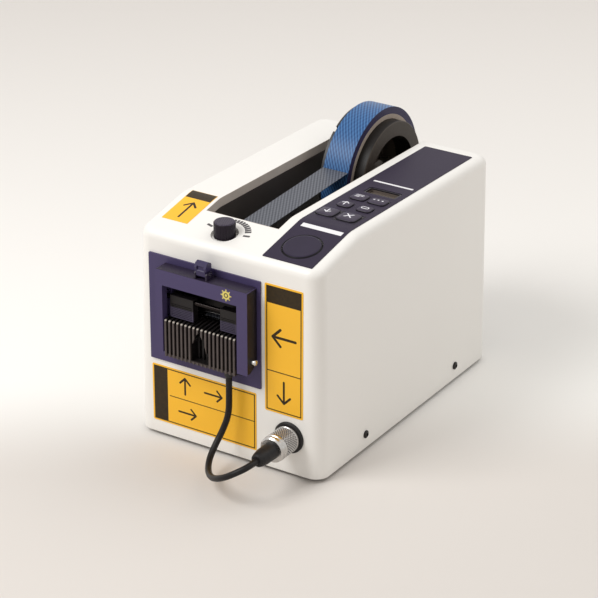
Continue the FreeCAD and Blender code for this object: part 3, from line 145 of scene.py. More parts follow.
class Finish(Recipe):
    """The surface of one kind of piece; x, y and z are the places on it, in mm."""

    def __init__(self, name, colour, roughness, metallic=0.0, specular=0.5):
        self.material = bpy.data.materials.new(name)
        self.material.use_nodes = True
        super().__init__(self.material.node_tree)
        self.shader = self.tree.nodes["Principled BSDF"]
        self.place = self.node("ShaderNodeTexCoord", {}, {}, "Object")
        self.x = self.node("ShaderNodeSeparateXYZ", {}, {0: self.place}, "X") / MM
        self.y = self.node("ShaderNodeSeparateXYZ", {}, {0: self.place}, "Y") / MM - front_face / MM
        self.z = self.node("ShaderNodeSeparateXYZ", {}, {0: self.place}, "Z") / MM
        self.set("Base Color", colour)
        self.set("Roughness", roughness)
        self.set("Metallic", metallic)
        self.set("Specular IOR Level", specular)

    def set(self, socket, value):
        self.feed(self.shader.inputs[socket], value)

    def mixed(self, share, first, second):
        """One colour turning into another as share goes from 0 to 1."""
        return self.node("ShaderNodeMix", {"data_type": "RGBA"}, {0: share, 6: first, 7: second}, 2)

    def cloud(self, size, detail=2.0, stretch=(1, 1, 1)):
        """Soft random patches about size mm across, drawn out along the axes by stretch."""
        scale = tuple(1 / value for value in stretch)
        place = self.node("ShaderNodeMapping", {}, {"Vector": self.place, "Scale": scale})
        return self.node("ShaderNodeTexNoise", {}, {
            "Vector": place, "Scale": 1 / (size * MM), "Detail": detail})

    def specks(self, size, share):
        """Small separate specks; share is how much of the surface they cover."""
        return self.cloud(size, 1.0) > 0.72 - share

    def relief(self, height):
        """Raise the surface by a height in mm."""
        bump = self.node("ShaderNodeBump", {}, {"Distance": MM, "Height": height})
        self.set("Normal", bump)

    def stroke(self, across, along, start, end, width):
        """1 on a round-ended line that is drawn from start to end on two of the axes."""
        run = (end[0] - start[0], end[1] - start[1])
        across = across - start[0]
        along = along - start[1]
        share = ((across * run[0] + along * run[1]) / (run[0] ** 2 + run[1] ** 2)).clipped()
        across = across - share * run[0]
        along = along - share * run[1]
        return across * across + along * along < (width / 2) ** 2

    def panel(self, across, along, low, high):
        """1 inside the rectangle that has these two corners."""
        half = ((high[0] - low[0]) / 2, (high[1] - low[1]) / 2)
        beside = abs(across - (low[0] + half[0])) < half[0]
        above = abs(along - (low[1] + half[1])) < half[1]
        return beside * above

    def distance(self, across, along, middle):
        """How far a place is from the middle, on two of the axes."""
        across = across - middle[0]
        along = along - middle[1]
        square = across * across + along * along
        return square.maths("SQRT", square)

    def dot(self, across, along, middle, radius):
        """1 inside the circle round the middle."""
        return self.distance(across, along, middle) < radius


def dress(finish, *names):
    """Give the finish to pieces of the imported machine."""
    for name in names:
        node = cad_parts[name]
        if not node.material_slots:
            node.data.materials.append(None)
        for slot in node.material_slots:
            slot.material = finish.material


focal_pixels = 2405.0
frame_pixels = 598.0
camera_turn, camera_dip, camera_roll = 32.64, 25.25, 0.16
camera_data = bpy.data.cameras.new("camera")
camera_data.sensor_width = 36.0
camera_data.lens = focal_pixels / frame_pixels * camera_data.sensor_width
camera_data.clip_start = 0.05
camera_data.clip_end = 20.0
camera = bpy.data.objects.new("camera", camera_data)
bpy.context.scene.collection.objects.link(camera)
azimuth = Matrix.Rotation(math.radians(camera_turn), 4, "Z")
tilt = Matrix.Rotation(math.radians(90 - camera_dip), 4, "X")
roll = Matrix.Rotation(math.radians(camera_roll), 4, "Z")
camera.matrix_world = Matrix.Translation(at(753.6, -1094.2, 736.6)) @ azimuth @ tilt @ roll
bpy.context.scene.camera = camera
bpy.context.scene.view_settings.view_transform = "Standard"

tabletop = Finish("tabletop", paint(222, 216, 210), 0.75, specular=0.2)
away_x, away_y = -0.539, 0.842
behind = tabletop.y * away_y + tabletop.x * away_x
# The tabletop is painted darker at the front and paler behind the machine: a painted falloff of the lamps'
# light across it.
near_floor_shade = tabletop.mixed(tabletop.cloud(260.0), paint(217, 211, 205), paint(222, 216, 210))
far_floor_light = tabletop.mixed((behind / 900).clipped(), paint(247, 245, 241), paint(238, 233, 228))
sweep = tabletop.node("ShaderNodeMapRange", {"interpolation_type": "SMOOTHSTEP"}, {
    "Value": behind, "From Min": -30.0, "From Max": 110.0})
tabletop.set("Base Color", tabletop.mixed(sweep, near_floor_shade, far_floor_light))
floor_mesh = bpy.data.meshes.new("tabletop")
floor_mesh.from_pydata([(-3, -3, 0), (3, -3, 0), (3, 3, 0), (-3, 3, 0)], [], [(0, 1, 2, 3)])
floor_mesh.materials.append(tabletop.material)
floor = bpy.data.objects.new("tabletop", floor_mesh)
bpy.context.scene.collection.objects.link(floor)

world = bpy.data.worlds.new("sky")
bpy.context.scene.world = world
world.use_nodes = True
sky = Recipe(world.node_tree)
rays = [sky.node("ShaderNodeLightPath", {}, {}, ray) for ray in
        ("Is Camera Ray", "Is Glossy Ray", "Is Transmission Ray")]
seen = rays[0].either(rays[1]).either(rays[2])
backdrop = world.node_tree.nodes["Background"]
backdrop.inputs["Color"].default_value = paint(248, 246, 243)
sky.feed(backdrop.inputs["Strength"], seen * 0.38 + 0.62)

machine_middle = at(0, 100, 80)
for lamp_name, away, size, energy in (
        ("lamp_front_left", (-0.545, -0.876, 1.089), 0.7, 12.4),
        ("lamp_rear_right", (0.525, 0.675, 1.23), 1.2, 5.6)):
    lamp = bpy.data.lights.new(lamp_name, "AREA")
    lamp.shape = "SQUARE"
    lamp.size = size
    lamp.energy = energy
    lamp_stand = bpy.data.objects.new(lamp_name, lamp)
    lamp_turn = Vector(away).to_track_quat("Z", "Y").to_matrix().to_4x4()
    lamp_stand.matrix_world = Matrix.Translation(machine_middle + Vector(away)) @ lamp_turn
    bpy.context.scene.collection.objects.link(lamp_stand)


# The base is folded zinc-plated sheet, let into the casing from below.  Four rubber feet
# are pushed through it, and four black oxide screws hold it through the casing's sides.


def rolled_sheet(name, colour, roughness, along):
    """Plated sheet metal, with the mill's fine lines running along one axis."""
    made = Finish(name, colour, roughness, metallic=1.0)
    lines = made.cloud(0.5, 3.0, along)
    spangle = made.cloud(9.0, 4.0)
    made.set("Base Color", made.mixed(spangle, toned(colour, 0.86), toned(colour, 1.1)))
    made.set("Roughness", lines * 0.22 + roughness - 0.11)
    made.relief(lines * 0.012 + spangle * 0.01)
    return made


def soft_rubber(name, colour, roughness, dust):
    """Moulded rubber, with a bloom of pale dust in its low places."""
    made = Finish(name, colour, roughness, specular=0.2)
    bloom = made.cloud(5.0, 4.0)
    made.set("Base Color", made.mixed(bloom * dust, colour, paint(96, 92, 88)))
    made.set("Roughness", bloom * 0.2 + roughness - 0.1)
    made.relief(made.cloud(0.7, 2.0) * 0.03)
    return made


zinc_sheet = rolled_sheet("zinc_sheet", paint(178, 180, 180), 0.42, (1, 24, 1))
dress(zinc_sheet, "base_plate")
foot_rubber = soft_rubber("foot_rubber", paint(34, 33, 33), 0.72, 0.3)
dress(foot_rubber, "rubber_feet")
screw_black = Finish("screw_black", paint(40, 38, 38), 0.38, metallic=0.7)
screw_tone = screw_black.mixed(screw_black.cloud(1.4), paint(28, 27, 28), paint(58, 54, 52))
screw_black.set("Base Color", screw_tone)
screw_black.relief(screw_black.cloud(0.3) * 0.012)
dress(screw_black, "side_screws")


# The casing is one white injection-moulded shell with a fine satin texture.  Its sides lean
# in by the mould's draft, and a long opening along the top takes the reel from above.


def moulded(name, colour, roughness, grain=0.55, depth=0.016, drift=0.05, specular=0.5):
    """Injection-moulded plastic: slow drifts of tone and gloss over the mould's eroded grain."""
    made = Finish(name, colour, roughness, specular=specular)
    drifting = made.mixed(made.cloud(34.0, 3.0), toned(colour, 1 - drift), toned(colour, 1 + drift))
    made.set("Base Color", drifting)
    made.set("Roughness", made.cloud(13.0, 3.0) * 0.16 + roughness - 0.08)
    made.relief(made.cloud(grain) * depth)
    return made


white = paint(240, 237, 232)
casing_white = moulded("casing_white", white, 0.4, grain=0.8, depth=0.01, drift=0.008)
# Towards its bottom the casing turns darker in soft patches.
darkening_height = 9.0
low_darkening = ((darkening_height - casing_white.z) / darkening_height).clipped() * casing_white.cloud(6.0, 4.0) * 0.35
casing_tone = casing_white.mixed(casing_white.cloud(60.0), toned(white, 0.985), toned(white, 1.01))
casing_tone = casing_white.mixed(low_darkening, casing_tone, paint(190, 184, 176))
# Inside the well the casing's walls are painted a darker beige, as painted shade.
in_well = casing_white.panel(casing_white.x, casing_white.y, (-36.7, 32.3), (17.2, 205.0))
in_well = in_well * (casing_white.z > 60.0)
well_painted_shade = casing_white.mixed(casing_white.cloud(9.0), paint(194, 183, 174), paint(210, 199, 189))
casing_white.set("Base Color", casing_white.mixed(in_well, casing_tone, well_painted_shade))
dress(casing_white, "casing")


# The well liner is a black ribless tray that hangs in the casing's opening.  It is moulded in
# a coarse grain and grooved at the rear, where the reel's shaft drops in.

liner_black = moulded("liner_black", paint(52, 46, 43), 0.5, grain=0.9, depth=0.03, drift=0.2)
floor_dust = liner_black.specks(0.9, 0.06) * (liner_black.z < 54.0)
liner_tone = liner_black.mixed(liner_black.cloud(26.0, 4.0), paint(42, 37, 35), paint(62, 55, 51))
liner_black.set("Base Color", liner_black.mixed(floor_dust, liner_tone, paint(120, 112, 104)))
dress(liner_black, "well_liner")


# Two side plates of plated sheet carry the feed and the cutter.  They are tied by ground
# rods, and the rollers' shafts turn in bronze bushes that are pressed into the plates.

plate_zinc = rolled_sheet("plate_zinc", paint(168, 170, 172), 0.38, (1, 1, 30))
dress(plate_zinc, "frame_plate_left", "frame_plate_right")


def ground_steel(name, colour, roughness):
    """Steel ground to size, with the wheel's fine rings round or across the piece."""
    made = Finish(name, colour, roughness, metallic=1.0)
    rings = made.cloud(0.35, 2.0, (1, 9, 9))
    made.set("Base Color", made.mixed(made.cloud(7.0), toned(colour, 0.9), toned(colour, 1.06)))
    made.set("Roughness", rings * 0.16 + roughness - 0.08)
    made.relief(rings * 0.008)
    return made


bright_steel = ground_steel("bright_steel", paint(206, 205, 202), 0.24)
dress(bright_steel, "cross_rods", "feed_shaft", "pressure_shaft", "latch_pin")
pin_steel = ground_steel("pin_steel", paint(200, 198, 194), 0.26)
# Where the pins form the rail above the mouth they are painted near black, as painted shade inside the
# mouth.
rail_painted_dark = pin_steel.z > 95.0
pin_steel.set("Base Color", pin_steel.mixed(rail_painted_dark, paint(200, 198, 194), paint(40, 36, 35)))
dress(pin_steel, "bezel_pins")
bronze = ground_steel("bush_bronze", paint(176, 138, 84), 0.4)
bronze.relief(bronze.specks(0.35, 0.12) * -0.02)
dress(bronze, "roller_bushes")


# The reel is a dark moulded drum with a deep black recess at its side.  It turns on a light
# grey shaft, and a thin black flange with three notches closes its far side.

reel_low, reel_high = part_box("reel_hub")
reel_y = ((reel_low.y + reel_high.y) / 2 - front_face) / MM
reel_z = (reel_low.z + reel_high.z) / 2 / MM
hub_face_x = reel_high.x / MM
cup_radius = 28.0
cup_depth = 30.0

hub_black = Finish("hub_black", paint(40, 36, 33), 0.3, specular=0.22)
hub_radius = hub_black.distance(hub_black.y, hub_black.z, (reel_y, reel_z))
on_face = (hub_black.x > hub_face_x - 0.7) * (hub_radius > cup_radius)
turning = hub_radius.wave(0.55) * 0.5 + hub_black.cloud(3.0, 4.0) * 0.5
face_tone = hub_black.mixed(turning, paint(50, 44, 39), paint(68, 60, 53))
drum_tone = hub_black.mixed(hub_black.cloud(5.0, 4.0), paint(20, 18, 16), paint(36, 32, 29))
# Inside the recess the black drum is painted a lighter brown-grey, a painted light standing in for light
# the deep recess does not get.
in_cup = (hub_radius < cup_radius - 0.3) * (hub_black.x > hub_face_x - cup_depth)
cup_painted_light = hub_black.mixed(turning, paint(76, 68, 60), paint(96, 87, 78))
drum_tone = hub_black.mixed(in_cup, drum_tone, cup_painted_light)
hub_black.set("Base Color", hub_black.mixed(on_face, drum_tone, face_tone))
hub_black.set("Roughness", 0.36 + on_face * 0.06 + hub_black.cloud(8.0) * 0.1)
hub_black.relief(hub_black.cloud(0.8) * 0.02 + turning * on_face * 0.006)
dress(hub_black, "reel_hub")
flange_black = moulded("flange_black", paint(36, 35, 37), 0.46, grain=0.7, depth=0.02, drift=0.15)
dress(flange_black, "reel_flange")
shaft_grey = moulded("shaft_grey", paint(172, 168, 164), 0.4, grain=0.5, depth=0.012, drift=0.06)
dress(shaft_grey, "reel_shaft")


# The roll is blue filament tape wound on a card core.  The tape's face carries slanted pale
# threads, its wound side shows every layer, and the core shows the plies of its card.

roll_low, roll_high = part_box("tape_roll")
roll_radius = (roll_high.z - roll_low.z) / 2 / MM
thread_pitch = 2.2
thread_turns = 70
thread_slant = thread_turns * thread_pitch / (2 * math.pi * roll_radius)


def threads(made, along, across):
    """The tape's threaded face, from the distance along the tape and across it."""
    slanted = (across - along * thread_slant).wave(thread_pitch)
    crossing = (across + along * thread_slant).wave(thread_pitch * 1.5)
    grain = made.cloud(1.1, 3.0)
    share = slanted * 0.62 + crossing * 0.16 + grain * 0.3 - 0.06
    return share.clipped()


tape_blue = Finish("tape_blue", paint(66, 108, 168), 0.36, specular=0.25)
wound_y = tape_blue.y - reel_y
wound_z = tape_blue.z - reel_z
wound_radius = tape_blue.distance(tape_blue.y, tape_blue.z, (reel_y, reel_z))
turn_angle = wound_y.maths("ARCTAN2", wound_z, wound_y)
on_rim = wound_radius > roll_radius - 0.06
rim_share = threads(tape_blue, turn_angle * roll_radius, tape_blue.x)
rim_tone = tape_blue.mixed(rim_share, paint(16, 48, 98), paint(80, 128, 180))
layers = (wound_radius + tape_blue.cloud(6.0) * 0.5).wave(0.42)
side_tone = tape_blue.mixed(layers * 0.6 + tape_blue.cloud(2.0) * 0.4, paint(34, 30, 60), paint(56, 52, 86))
tape_blue.set("Base Color", tape_blue.mixed(on_rim, side_tone, rim_tone))
tape_blue.set("Roughness", 0.5 - on_rim * 0.14)
tape_blue.relief(rim_share * on_rim * 0.03 + layers * (1 - on_rim) * 0.05)
dress(tape_blue, "tape_roll")

core_card = Finish("core_card", paint(158, 145, 134), 0.85, specular=0.2)
plies = core_card.distance(core_card.y, core_card.z, (reel_y, reel_z)).wave(0.8)
fibres = core_card.cloud(1.2, 5.0, (1, 2, 2))
card_share = plies * 0.45 + fibres * 0.55
core_card.set("Base Color", core_card.mixed(card_share, paint(146, 132, 120), paint(192, 180, 168)))
core_card.relief(fibres * 0.06 + plies * 0.04)
dress(core_card, "paper_core")


# The tape's free run leaves the roll, passes over the guide roller and turns down into the
# nip.  It is the same threaded tape, seen against the light, so its blue looks greyer.

tape_film = Finish("tape_film", paint(84, 88, 98), 0.42, specular=0.3)
run_share = threads(tape_film, 0 - tape_film.y - tape_film.z, tape_film.x)
tape_film.set("Base Color", tape_film.mixed(run_share, paint(44, 47, 56), paint(112, 115, 124)))
tape_film.relief(run_share * 0.03)
dress(tape_film, "tape_web")


# The feed has a white guide roller, a fluted rubber feed roller and a grooved pressure roller.
# Nylon gears and a small canned motor drive them, and a second motor turns the cutter's crank.

guide_white = moulded("guide_roller_white", paint(206, 203, 196), 0.36, grain=0.4, depth=0.01)
dress(guide_white, "guide_roller")
feed_rubber = soft_rubber("feed_rubber", paint(62, 60, 62), 0.6, 0.4)
dress(feed_rubber, "feed_roller", "pressure_roller")
gear_nylon = Finish("gear_nylon", paint(214, 208, 192), 0.42)
grease = gear_nylon.cloud(4.0, 4.0) > 0.56
gear_nylon.set("Base Color", gear_nylon.mixed(grease * 0.6, paint(214, 208, 192), paint(168, 150, 118)))
gear_nylon.set("Roughness", 0.44 - grease * 0.24)
gear_nylon.relief(gear_nylon.cloud(0.5) * 0.01)
dress(gear_nylon, "drive_gear", "pressure_gear", "motor_pinion", "cutter_crank")
motor_can = rolled_sheet("motor_can", paint(186, 184, 178), 0.3, (30, 1, 1))
dress(motor_can, "feed_motor", "cutter_motor")


# The cutter is a fixed lower blade and a moving upper blade of blackened tool steel, ground
# bright along their edges.  A black moulded carrier lifts and lowers the upper one.

blade_steel = Finish("blade_steel", paint(196, 198, 200), 0.22, metallic=1.0)
grinding = blade_steel.cloud(0.25, 3.0, (1, 1, 16))
moving_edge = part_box("moving_blade")[0].z / MM
fixed_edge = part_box("fixed_blade")[1].z / MM
ground_width = 0.8
ground = abs(blade_steel.z - moving_edge) < ground_width
ground = ground.either(abs(blade_steel.z - fixed_edge) < ground_width)
oxide = blade_steel.mixed(blade_steel.cloud(6.0), paint(30, 29, 30), paint(48, 46, 46))
blade_steel.set("Base Color", blade_steel.mixed(ground, oxide, paint(206, 207, 208)))
blade_steel.set("Roughness", grinding * 0.2 + 0.3 - ground * 0.18)
blade_steel.relief(grinding * 0.01)
dress(blade_steel, "fixed_blade", "moving_blade")
works_black = moulded("works_black", paint(44, 42, 42), 0.5, grain=0.6, depth=0.02, drift=0.15)
dress(works_black, "blade_carrier", "tape_sensor")


# The front is a violet moulded bezel with a fold-down cover over the tape's mouth.  The cover
# turns on a bright pin at each side, the right one with a round head, and a thumb catch
# holds it to the bezel.

violet = paint(69, 60, 96)
violet_plastic = moulded("violet_plastic", violet, 0.46, grain=0.6, depth=0.012, specular=0.3)
violet_tone = violet_plastic.mixed(
    violet_plastic.cloud(34.0, 3.0), toned(violet, 0.94), toned(violet, 1.06))
# The cover's right side is painted near black and its top face darker, as painted shade.
shade_beside_mouth = (violet_plastic.x > 23.2) * (violet_plastic.y < -1.4)
shade_above_mouth = (violet_plastic.z > 124.2) * (violet_plastic.y < -1.6)
violet_tone = violet_plastic.mixed(shade_above_mouth, violet_tone, paint(38, 30, 50))
violet_plastic.set("Base Color", violet_plastic.mixed(shade_beside_mouth, violet_tone, paint(18, 14, 22)))
dress(violet_plastic, "front_bezel", "front_cover")
catch_violet = moulded(
    "catch_violet", paint(50, 42, 76), 0.36, grain=0.5, depth=0.014, drift=0.1, specular=0.3)
dress(catch_violet, "cover_latch")


def add_piece(name, mesh, finish, body, slot, *stands_for):
    """Put a finished mesh on one of the machine's bodies, in place of the pieces it stands for."""
    mesh.materials.clear()
    mesh.materials.append(finish.material)
    made = bpy.data.objects.new(name, mesh)
    bpy.context.scene.collection.objects.link(made)
    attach(made, body)
    if stands_for:
        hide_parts(*stands_for)
    return made


def turned(name, profile, centre, axis, steps=64):
    """A turned solid; each point of its profile is (distance along the axis, radius) in mm."""
    work = bmesh.new()
    rings = []
    for along, radius in profile:
        ring = []
        for step in range(steps):
            angle = 2 * math.pi * step / steps
            point = Vector((radius * math.cos(angle), radius * math.sin(angle), along)) * MM
            ring.append(work.verts.new(point))
        rings.append(ring)
    for lower, upper in zip(rings, rings[1:]):
        for step in range(steps):
            following = (step + 1) % steps
            work.faces.new((lower[step], lower[following], upper[following], upper[step]))
    bmesh.ops.remove_doubles(work, verts=work.verts, dist=1e-6)
    bmesh.ops.recalc_face_normals(work, faces=work.faces)
    placing = Matrix.Translation(centre) @ axis.to_track_quat("Z", "X").to_matrix().to_4x4()
    bmesh.ops.transform(work, matrix=placing, verts=work.verts)
    mesh = bpy.data.meshes.new(name)
    work.to_mesh(mesh)
    work.free()
    for face in mesh.polygons:
        face.use_smooth = True
    mesh.set_sharp_from_angle(angle=math.radians(35))
    return mesh


pivot_place = at(23.4, -7.0, 76.5)
head = [(0.0, 0.0), (0.0, 1.9), (2.4, 1.9), (2.9, 1.75), (3.3, 1.3), (3.5, 0.7), (3.5, 0.0)]
pivot_head = turned("pivot_head", head, pivot_place, Vector((1, 0, 0)), 32)
add_piece("pivot_head", pivot_head, bright_steel, "root", "bright_steel")

disc_yellow = Finish("disc_yellow", paint(214, 196, 96), 0.4)
disc_middle = (8.0, 119.3)
disc_x = disc_yellow.x - disc_middle[0]
disc_z = disc_yellow.z - disc_middle[1]
disc_radius = disc_yellow.distance(disc_yellow.x, disc_yellow.z, disc_middle)
disc_angle = disc_x.maths("ARCTAN2", disc_z, disc_x) * 4
off_ray = abs(disc_angle.maths("SINE", disc_angle)) * disc_radius
printed = (disc_radius < 2.7).either(off_ray < 1.3)
disc_ring = (disc_radius > 0.9) * (disc_radius < 1.6)
disc_tone = disc_yellow.mixed(printed, violet, paint(218, 202, 104))
disc_yellow.set("Base Color", disc_yellow.mixed(disc_ring, disc_tone, paint(84, 74, 50)))
disc_profile = [(0.0, 0.0), (0.0, 3.9), (0.08, 3.9), (0.12, 3.8), (0.12, 0.0)]
disc_place = at(disc_middle[0], -11.8, disc_middle[1])
disc = turned("cover_disc", disc_profile, disc_place, Vector((0, -1, 0)), 48)
add_piece("cover_disc", disc, disc_yellow, "cover_body", "label_amber")


# Under the cover a comb of eighteen moulded ribs supports the cut tape, with an arch cut out
# for the fingers.  Two ridged guides slide on a rail above it and keep the tape in the middle.

comb_low, comb_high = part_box("rib_comb")
comb_front = (comb_low.y - front_face) / MM
comb_top = comb_high.z / MM
comb_brown = Finish("comb_brown", paint(78, 70, 66), 0.4, specular=0.3)
# Behind its front the comb is painted near black, as painted shade deep in the mouth, and the tips of the
# ribs' fronts are painted pale, as painted highlights.
near_front = ((comb_front + 1.6 - comb_brown.y) / 1.2).clipped()
tip_highlight = ((comb_brown.z - (comb_top - 1.9)) / 0.8).clipped()
front_tone = comb_brown.mixed(comb_brown.cloud(4.0), paint(68, 60, 58), paint(88, 79, 76))
comb_tone_and_shade = comb_brown.mixed(near_front, paint(26, 23, 23), front_tone)
comb_brown.set("Base Color", comb_brown.mixed(near_front * tip_highlight, comb_tone_and_shade, paint(214, 205, 192)))
comb_brown.relief(comb_brown.cloud(0.5) * 0.014)
dress(comb_brown, "rib_comb")
guide_violet = Finish("guide_violet", paint(58, 52, 70), 0.45, specular=0.3)
# Above the ridges and behind the guides' fronts they are painted near black, as painted shade inside the
# mouth.
ridged = (guide_violet.z < 98.6) * (guide_violet.y < -6.2)
ridge_tone = guide_violet.mixed(guide_violet.cloud(5.0), paint(54, 48, 66), paint(70, 64, 84))
guide_violet.set("Base Color", guide_violet.mixed(ridged, paint(24, 20, 20), ridge_tone))
guide_violet.set("Roughness", guide_violet.cloud(3.0) * 0.14 + 0.4)
guide_violet.relief(guide_violet.cloud(0.5) * 0.012)
dress(guide_violet, "tape_guide_left", "tape_guide_right")
gland_rubber = soft_rubber("gland_rubber", paint(36, 35, 36), 0.6, 0.2)
dress(gland_rubber, "cord_gland")


# Three printed plates of amber film are stuck on: right of the mouth, below it, and on the
# top, left of the well.  They carry dark keylines, dark header blocks and plain arrows.

amber = paint(248, 188, 52)
ink = paint(28, 22, 14)
plate_film = Finish("plate_film", amber, 0.36, specular=0.25)
px = plate_film.x
py = plate_film.y
pz = plate_film.z
on_front = py < 1.0


def together(first, *others):
    """Marks that are printed on one surface."""
    for other in others:
        first = first.either(other)
    return first


def keyline(across, along, low, high, width=0.75):
    """The dark line that runs round a plate just inside its edge."""
    outer = plate_film.panel(across, along, low, high)
    low = (low[0] + width, low[1] + width)
    high = (high[0] - width, high[1] - width)
    return outer * (1 - plate_film.panel(across, along, low, high))


def arrow(across, along, tail, tip, width, barb):
    """A plain arrow with an open head."""
    length = math.hypot(tip[0] - tail[0], tip[1] - tail[1])
    ahead = ((tip[0] - tail[0]) / length, (tip[1] - tail[1]) / length)
    mark = plate_film.stroke(across, along, tail, tip, width)
    for side in (-1, 1):
        end = (tip[0] - barb * (ahead[0] - side * ahead[1]), tip[1] - barb * (ahead[1] + side * ahead[0]))
        mark = mark.either(plate_film.stroke(across, along, tip, end, width))
    return mark


right_marks = together(
    keyline(px, pz, (29.4, 43.5), (54.8, 127.6)),
    plate_film.panel(px, pz, (29.4, 116.2), (54.8, 127.6)),
    plate_film.panel(px, pz, (29.4, 70.2), (54.8, 70.9)),
    arrow(px, pz, (50.5, 94.0), (34.0, 94.0), 1.8, 5.6),
    arrow(px, pz, (42.1, 64.5), (42.1, 50.0), 1.5, 4.6))
lower_marks = together(
    keyline(px, pz, (-55.9, 12.4), (20.8, 50.4)),
    plate_film.panel(px, pz, (-55.9, 12.4), (-45.4, 50.4)),
    plate_film.panel(px, pz, (-44.0, 31.2), (20.8, 31.8)),
    arrow(px, pz, (-32.0, 35.4), (-32.0, 46.6), 1.4, 3.8),
    arrow(px, pz, (-17.0, 41.0), (-4.0, 41.0), 1.3, 3.6),
    arrow(px, pz, (-37.0, 22.3), (-24.0, 22.3), 1.3, 3.6))
top_marks = together(
    plate_film.panel(px, py, (-58.0, 40.4), (-39.2, 48.6)),
    arrow(px, py, (-48.6, 19.5), (-48.6, 36.0), 1.5, 4.2))
marks = on_front * right_marks.either(lower_marks) + (1 - on_front) * top_marks
worn = marks * plate_film.cloud(2.2, 5.0) * 0.04
plate_tone = plate_film.mixed(plate_film.cloud(22.0), toned(amber, 0.97), toned(amber, 1.03))
plate_film.set("Base Color", plate_film.mixed((marks - worn).clipped(), plate_tone, ink))
plate_film.set("Roughness", plate_film.cloud(9.0, 3.0) * 0.14 + 0.3)
plate_film.relief(plate_film.cloud(1.4, 3.0) * 0.012)
dress(plate_film, "face_labels")


# The control panel is a printed violet film over the casing's sloping top, with openings for
# the start button, six keys and the display.  The white bars are printed from behind.

panel_film = Finish("panel_film", paint(46, 40, 52), 0.45, specular=0.16)
fx = panel_film.x
fy = panel_film.y
bars = together(panel_film.panel(fx, fy, (27.6, 40.5), (56.6, 44.3)),
                panel_film.panel(fx, fy, (27.6, 126.6), (56.4, 128.6)))
weave = panel_film.cloud(0.7, 2.0)
film_tone = panel_film.mixed(panel_film.cloud(18.0, 3.0), paint(38, 30, 48), paint(46, 38, 57))
film_tone = panel_film.mixed(weave * 0.3, film_tone, paint(58, 50, 70))
round_stop = panel_film.panel(fx, fy, (39.1, 57.3), (55.5, 72.6))
round_stop = round_stop * (1 - panel_film.panel(fx, fy, (39.8, 58.0), (54.8, 72.1)))
film_tone = panel_film.mixed(round_stop, film_tone, paint(20, 17, 24))
start_middle = (41.2, 21.4)
start_radius = 12.2
round_start = panel_film.dot(fx, fy, start_middle, start_radius + 0.8)
film_tone = panel_film.mixed(round_start, film_tone, paint(17, 13, 22))
panel_film.set("Base Color", panel_film.mixed(bars, film_tone, paint(236, 234, 236)))
panel_film.set("Roughness", 0.4 + weave * 0.14 + bars * 0.1)
panel_film.relief(weave * 0.02)
dress(panel_film, "panel_film")


# The start button is a wide round cap of the film's colour that sits almost flush.  A thin
# dark joint runs round it, and its flat top rolls over at the rim.

button_violet = Finish("button_violet", paint(44, 37, 54), 0.4, specular=0.2)
button_rim = button_violet.distance(button_violet.x, button_violet.y, start_middle) > start_radius - 0.5
button_tone = button_violet.mixed(button_violet.cloud(14.0), paint(36, 28, 48), paint(44, 36, 57))
button_violet.set("Base Color", button_violet.mixed(button_rim, button_tone, paint(17, 13, 22)))
button_violet.relief(button_violet.cloud(0.6) * 0.014 - button_rim * 0.05)
dress(button_violet, "start_button")


# Six small keys stand up through the film as smooth pillows, each moulded in violet with its
# mark printed in white: two arrows, a cross, and plain bars, dots and a ring.

front_height, ridge_height, rear_height = 142.5, 151.7, 148.4
ridge_y, rear_y = 47.0, 213.0
slope_front = math.atan((ridge_height - front_height) / ridge_y)
slope_rear = math.atan((rear_height - ridge_height) / (rear_y - ridge_y))


def on_top(x, y, lift):
    """A point above the casing's sloping top, lifted square to it."""
    slope = slope_front if y < ridge_y else slope_rear
    height = ridge_height + (y - ridge_y) * math.tan(slope)
    return at(x, y - lift * math.sin(slope), height + lift * math.cos(slope))


def pillow(name, x, y, width, depth, low, side, crown):
    """A key cap: upright sides to the height side, then a soft dome to the height crown."""
    levels = [(1.0, low), (1.0, side - 0.25), (0.985, side)]
    for share in (0.94, 0.86, 0.74, 0.58, 0.4, 0.2):
        levels.append((share, side + (crown - side) * (1 - share ** 3.2) ** 0.62))
    slope = slope_front if y < ridge_y else slope_rear
    work = bmesh.new()
    rings = []
    steps = 48
    squareness = 0.42
    for share, lift in levels:
        ring = []
        for step in range(steps):
            angle = 2 * math.pi * (step + 0.5) / steps
            round_x = math.copysign(abs(math.cos(angle)) ** squareness, math.cos(angle))
            round_y = math.copysign(abs(math.sin(angle)) ** squareness, math.sin(angle))
            point = on_top(x + width / 2 * share * round_x, y, lift)
            reach = depth / 2 * share * round_y * MM
            point = point + Vector((0, reach * math.cos(slope), reach * math.sin(slope)))
            ring.append(work.verts.new(point))
        rings.append(ring)
    for lower, upper in zip(rings, rings[1:]):
        for step in range(steps):
            following = (step + 1) % steps
            work.faces.new((lower[step], lower[following], upper[following], upper[step]))
    work.faces.new(list(reversed(rings[0])))
    top = work.verts.new(on_top(x, y, crown))
    for step in range(steps):
        work.faces.new((rings[-1][step], rings[-1][(step + 1) % steps], top))
    bmesh.ops.recalc_face_normals(work, faces=work.faces)
    mesh = bpy.data.meshes.new(name)
    work.to_mesh(mesh)
    work.free()
    for face in mesh.polygons:
        face.use_smooth = len(face.vertices) < 10
    return mesh


